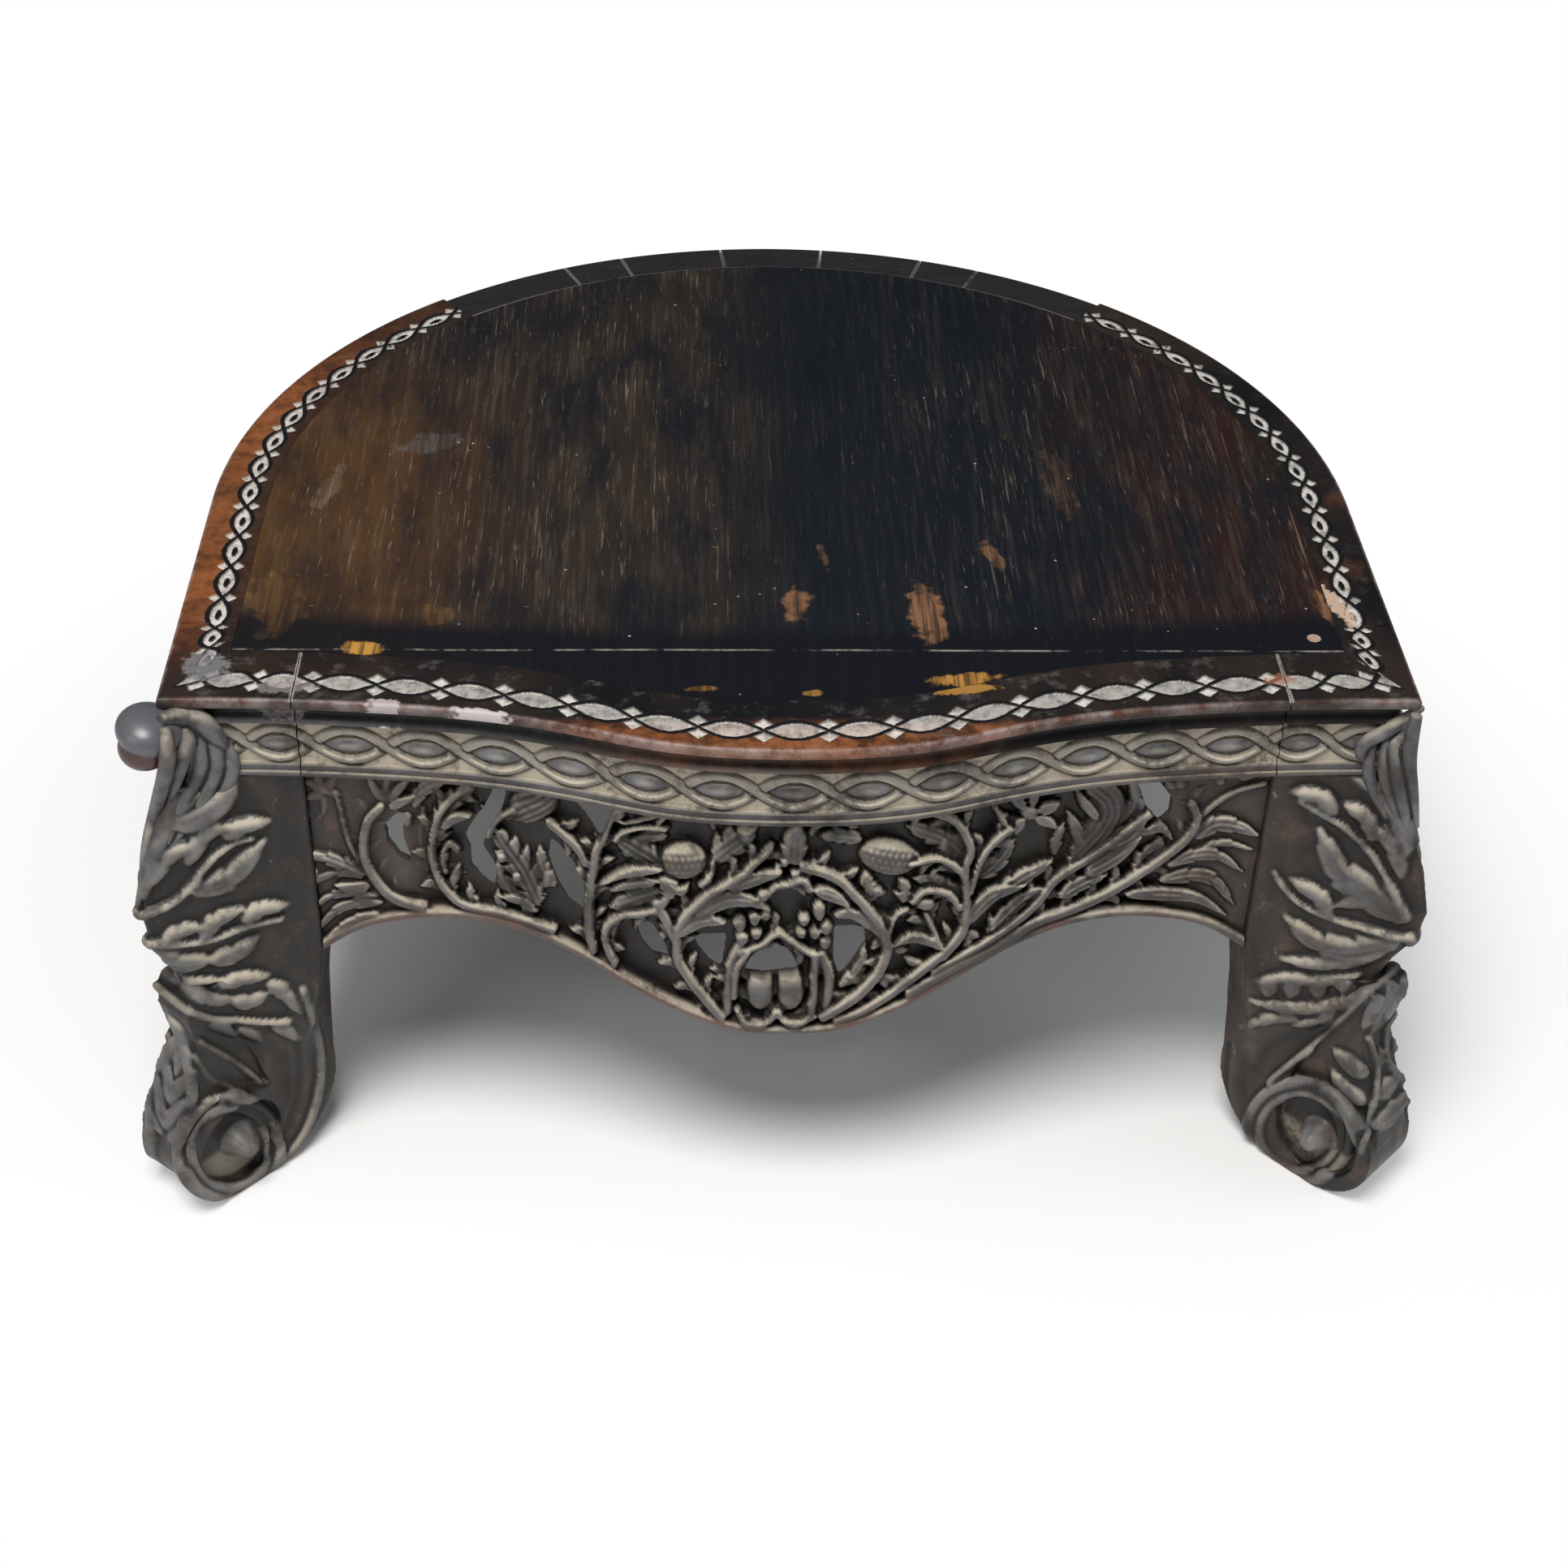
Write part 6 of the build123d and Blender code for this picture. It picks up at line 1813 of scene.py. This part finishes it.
# Rolled leaf ends under the rim's corners: pixels along each, how far out and radii in millimetres
LEFT_FOLDS = (
    (((206, 896), (206, 925), (203, 950), (192, 995), (178, 1050), (174, 1085)),
     (-1, 1, 1, 0, -1, -3), (3.0, 4.4, 4.0, 3.4, 2.8, 1.2)),
    (((200, 884), (226, 880), (250, 887), (270, 904), (284, 930)), (-2, 3, 4, 3, -1), (3.0, 6.0, 5.5, 4.5, 1.5)),
    (((222, 886), (226, 905), (220, 945), (204, 988), (178, 1071), (168, 1130)),
     (0, 3, 1, 0, -1, -2), (4.5, 5.0, 4.0, 3.4, 2.8, 1.5)),
    (((240, 890), (247, 912), (243, 945), (226, 988), (197, 1052), (178, 1112)),
     (0, 4, 2, 0, -1, -2), (4.5, 5.0, 4.2, 3.6, 2.8, 1.5)),
    (((256, 898), (268, 915), (268, 945), (252, 984), (226, 1022), (202, 1056)),
     (0, 3, 2, 0, -1, -2), (4.0, 4.6, 4.2, 3.6, 2.8, 1.5)),
    (((268, 908), (284, 926), (288, 950), (276, 980), (252, 1002), (228, 1018)),
     (-1, 1, 1, 0, -1, -2), (3.0, 4.0, 3.8, 3.4, 2.6, 1.2)))
RIGHT_FOLDS = (
    (((1746, 880), (1739, 905), (1736, 940), (1742, 980), (1746, 1020)), (0, 0, 0, -1, -3), (3.0, 4.0, 3.6, 2.8, 1.2)),
    (((1752, 872), (1726, 888), (1703, 900), (1682, 912), (1673, 928), (1684, 942)),
     (-1, 2, 2, 1, 1, -1), (2.0, 3.6, 3.8, 3.6, 3.2, 1.2)),
    (((1734, 888), (1723, 905), (1720, 950), (1731, 1007), (1741, 1060)), (0, 2, 1, 0, -2), (3.0, 4.0, 3.6, 3.0, 1.5)),
    (((1716, 900), (1708, 920), (1706, 956), (1721, 1001), (1736, 1050)), (0, 2, 1, 0, -2), (3.0, 4.0, 3.6, 3.0, 1.5)),
    (((1690, 916), (1686, 934), (1686, 962), (1702, 994), (1716, 1020)), (0, 1, 1, 0, -2), (2.5, 3.6, 3.4, 2.8, 1.5)))


def fold_pieces(folds, node):
    """Tendrils that make up the rolled leaf under a front corner."""
    tree = surface(node)
    return [tendril([on_leg(tree, pixel, out) for pixel, out in zip(pixels, outs)], radii)
            for pixels, outs, radii in folds]


def head_core(name, node, outline):
    """The top of a leg behind its frieze and rim, a block on a plan outline."""
    points = [(x, y, z) for z in (RAIL_Z, RIM_Z + mm("lip")) for x, y in outline]
    count = len(outline)
    around = [(i, (i + 1) % count, (i + 1) % count + count, i + count) for i in range(count)]
    piece = new_object(name, points, [tuple(range(count))[::-1], tuple(range(count, 2 * count)), *around])
    bevel = piece.modifiers.new("edges", "BEVEL")
    bevel.width = 0.8 * MM
    bevel.segments = 2
    pick(piece)
    bpy.ops.object.modifier_apply(modifier="edges")
    close_up(piece, 35.0)
    finish(piece, carved_finish(), node)


class STOOL_OT_legs(bpy.types.Operator):
    """Carve the four legs, and build their heads, the scroll end and the rolled leaves under the corners."""
    bl_idname = "stool.legs"
    bl_label = "Legs"

    def execute(self, context):
        first, last = REAR_LEG_ANGLES
        middle = (first + last) / 2
        behind = mm("rail_inset") + mm("rail_thickness") - 2
        for side, word, strokes in ((-1, "left", LEFT_LEG), (1, "right", RIGHT_LEG)):
            front = f"leg_front_{word}"
            rear = f"leg_rear_{word}"
            carve_leg(front, f"carved_{front}", strokes, side)
            carve_leg(rear, f"carved_{rear}", strokes, side, middle if side > 0 else 180 - middle)
            heads = ((front, sorted((side * JOINT_X, side * SIDE_JOINT))),
                     (rear, sorted((side * arc_run(first), side * arc_run(last)))))
            for node, (start, end) in heads:
                finish(rim_member(f"rim_over_{node}", start, end), rim_finish(), node)
                finish(frieze_member(f"frieze_over_{node}", start, end), carved_finish(), node)
            x = side * np.array((HALF - behind, JOINT_X, JOINT_X, HALF - behind)[::side])
            y = np.array((CORNER_Y + behind, CORNER_Y + behind, CORNER_Y + LEG_BLOCK, CORNER_Y + LEG_BLOCK)[::side])
            head_core(f"core_of_{front}", front, list(zip(x, y)))
            turn = [radians(a if side > 0 else 180 - a) for a in (first, last)]
            reaches = (HALF - behind, HALF - behind, HALF - LEG_BLOCK, HALF - LEG_BLOCK)
            ring = [(r * cos(a), ARC_Y + r * sin(a)) for r, a in zip(reaches, turn + turn[::-1])]
            head_core(f"core_of_{rear}", rear, ring)
        knob = [lump(knob_place(6.0, 305.0), (16.0, 16.0, 10.0), (0.16, 0.26, 0)),
                lump(knob_place(9.5, 297.0), (13.0, 13.0, 11.5)), lump(knob_place(-6.0, 300.0), (11.0, 11.0, 9.0))]
        scroll = merged("scroll_end_left", knob, 0.8, 4)
        finish(scroll, polished_finish(), "leg_front_left")
        for folds, word in ((LEFT_FOLDS, "left"), (RIGHT_FOLDS, "right")):
            piece = merged(f"rolled_leaf_{word}", fold_pieces(folds, f"leg_front_{word}"), 0.7, 2)
            finish(piece, carved_finish(), f"leg_front_{word}")
        return {"FINISHED"}


def white_in_view(tree, shader, output, kind, share):
    """Let the camera see a share of plain white in place of a shader."""
    t = Tree(tree)
    path = tree.nodes.new("ShaderNodeLightPath")
    white = tree.nodes.new(kind)
    mix = tree.nodes.new("ShaderNodeMixShader")
    tree.links.new(t.times(path.outputs["Is Camera Ray"], share), mix.inputs[0])
    tree.links.new(shader, mix.inputs[1])
    tree.links.new(white.outputs[0], mix.inputs[2])
    tree.links.new(mix.outputs[0], output.inputs["Surface"])


# Distance from the middle, in metres, over which the floor turns from lit to plain white
FLOOR_SHADE = (0.30, 0.60)


def floor_material():
    """White floor that keeps the stool's shadow."""
    made, t, shader = new_material("floor_white")
    where = t.coordinates()
    shade = t.blend(t.noise(where, 3.0), (0.88, 0.88, 0.88, 1), (0.90, 0.90, 0.90, 1))
    t.put(shader, "Base Color", shade)
    shader.inputs["Roughness"].default_value = 1.0
    shader.inputs["Specular IOR Level"].default_value = 0.0
    reach = made.node_tree.nodes.new("ShaderNodeVectorMath")
    reach.operation = "LENGTH"
    t.put(reach, 0, where)
    far = t.ramp(reach.outputs["Value"], *FLOOR_SHADE)
    tree = made.node_tree
    white_in_view(tree, shader.outputs[0], tree.nodes["Material Output"], "ShaderNodeEmission", far)
    return made


# Lamps: name, place and width in metres, power in watts and colour
LIGHTS = (
    ("key", (-0.35, -1.10, 2.35), 1.0, 58.0, (1.0, 0.985, 0.96)),
    ("front", (-1.5, -1.6, 1.2), 1.2, 8.0, (0.96, 0.98, 1.0)),
    ("side", (1.9, -0.6, 1.2), 1.2, 7.0, (0.93, 0.96, 1.0)))


class STOOL_OT_stage(bpy.types.Operator):
    """Place the floor, the soft lights, the world and the camera."""
    bl_idname = "stool.stage"
    bl_label = "Stage"

    def execute(self, context):
        bpy.ops.mesh.primitive_plane_add(size=12.0, location=(0, 0, 0))
        floor = context.active_object
        floor.name = "floor"
        floor.data.materials.append(floor_material())
        for name, place, size, power, tint in LIGHTS:
            bpy.ops.object.light_add(type="AREA", location=place)
            lamp = context.active_object
            lamp.name = name
            lamp.data.shape = "DISK"
            lamp.data.size = size
            lamp.data.energy = power
            lamp.data.color = tint
            aim = Vector((0, 0, 0.15)) - Vector(place)
            lamp.rotation_euler = aim.to_track_quat("-Z", "Y").to_euler()
        world = bpy.data.worlds.new("studio")
        context.scene.world = world
        world.use_nodes = True
        tree = world.node_tree
        t = Tree(tree)
        sky = tree.nodes["Background"]
        path = tree.nodes.new("ShaderNodeLightPath")
        t.put(sky, "Color", t.blend(path.outputs["Is Glossy Ray"], (1, 1, 1, 1), (0.30, 0.33, 0.38, 1)))
        t.put(sky, "Strength", 0.24)
        white_in_view(tree, sky.outputs[0], tree.nodes["World Output"], "ShaderNodeBackground", 1.0)
        place, right, up, forward = view_axes()
        bpy.ops.object.camera_add(location=place * MM)
        camera = context.active_object
        camera.name = "camera"
        camera.data.sensor_width = 36.0
        camera.data.lens = camera.data.sensor_width * FOCAL_PIXELS / FRAME_SIZE
        turn = Matrix((right, up, -forward)).transposed()
        camera.rotation_euler = turn.to_euler()
        context.scene.camera = camera
        context.scene.view_settings.view_transform = "Standard"
        return {"FINISHED"}


class STOOL_PT_panel(bpy.types.Panel):
    """Buttons for each group of pieces."""
    bl_idname = "STOOL_PT_panel"
    bl_label = "Carved Low Stool"
    bl_space_type = "VIEW_3D"
    bl_region_type = "UI"
    bl_category = "Stool"

    def draw(self, context):
        for operator in OPERATORS:
            self.layout.operator(operator.bl_idname)


OPERATORS = (STOOL_OT_stage, STOOL_OT_seat, STOOL_OT_rim, STOOL_OT_frieze, STOOL_OT_aprons, STOOL_OT_legs)
CLASSES = (StoolSizes, StoolColours, *OPERATORS, STOOL_PT_panel)


def register():
    """Register the classes and settings."""
    for item in CLASSES:
        bpy.utils.register_class(item)
    bpy.types.Scene.stool_sizes = PointerProperty(type=StoolSizes)
    bpy.types.Scene.stool_colours = PointerProperty(type=StoolColours)


def unregister():
    """Take the classes and settings away again."""
    del bpy.types.Scene.stool_colours
    del bpy.types.Scene.stool_sizes
    for item in reversed(CLASSES):
        bpy.utils.unregister_class(item)


def main():
    """Build every piece in order."""
    register()
    bpy.ops.stool.stage()
    bpy.ops.stool.seat()
    bpy.ops.stool.rim()
    bpy.ops.stool.frieze()
    bpy.ops.stool.aprons()
    bpy.ops.stool.legs()


if __name__ == "__main__":
    main()
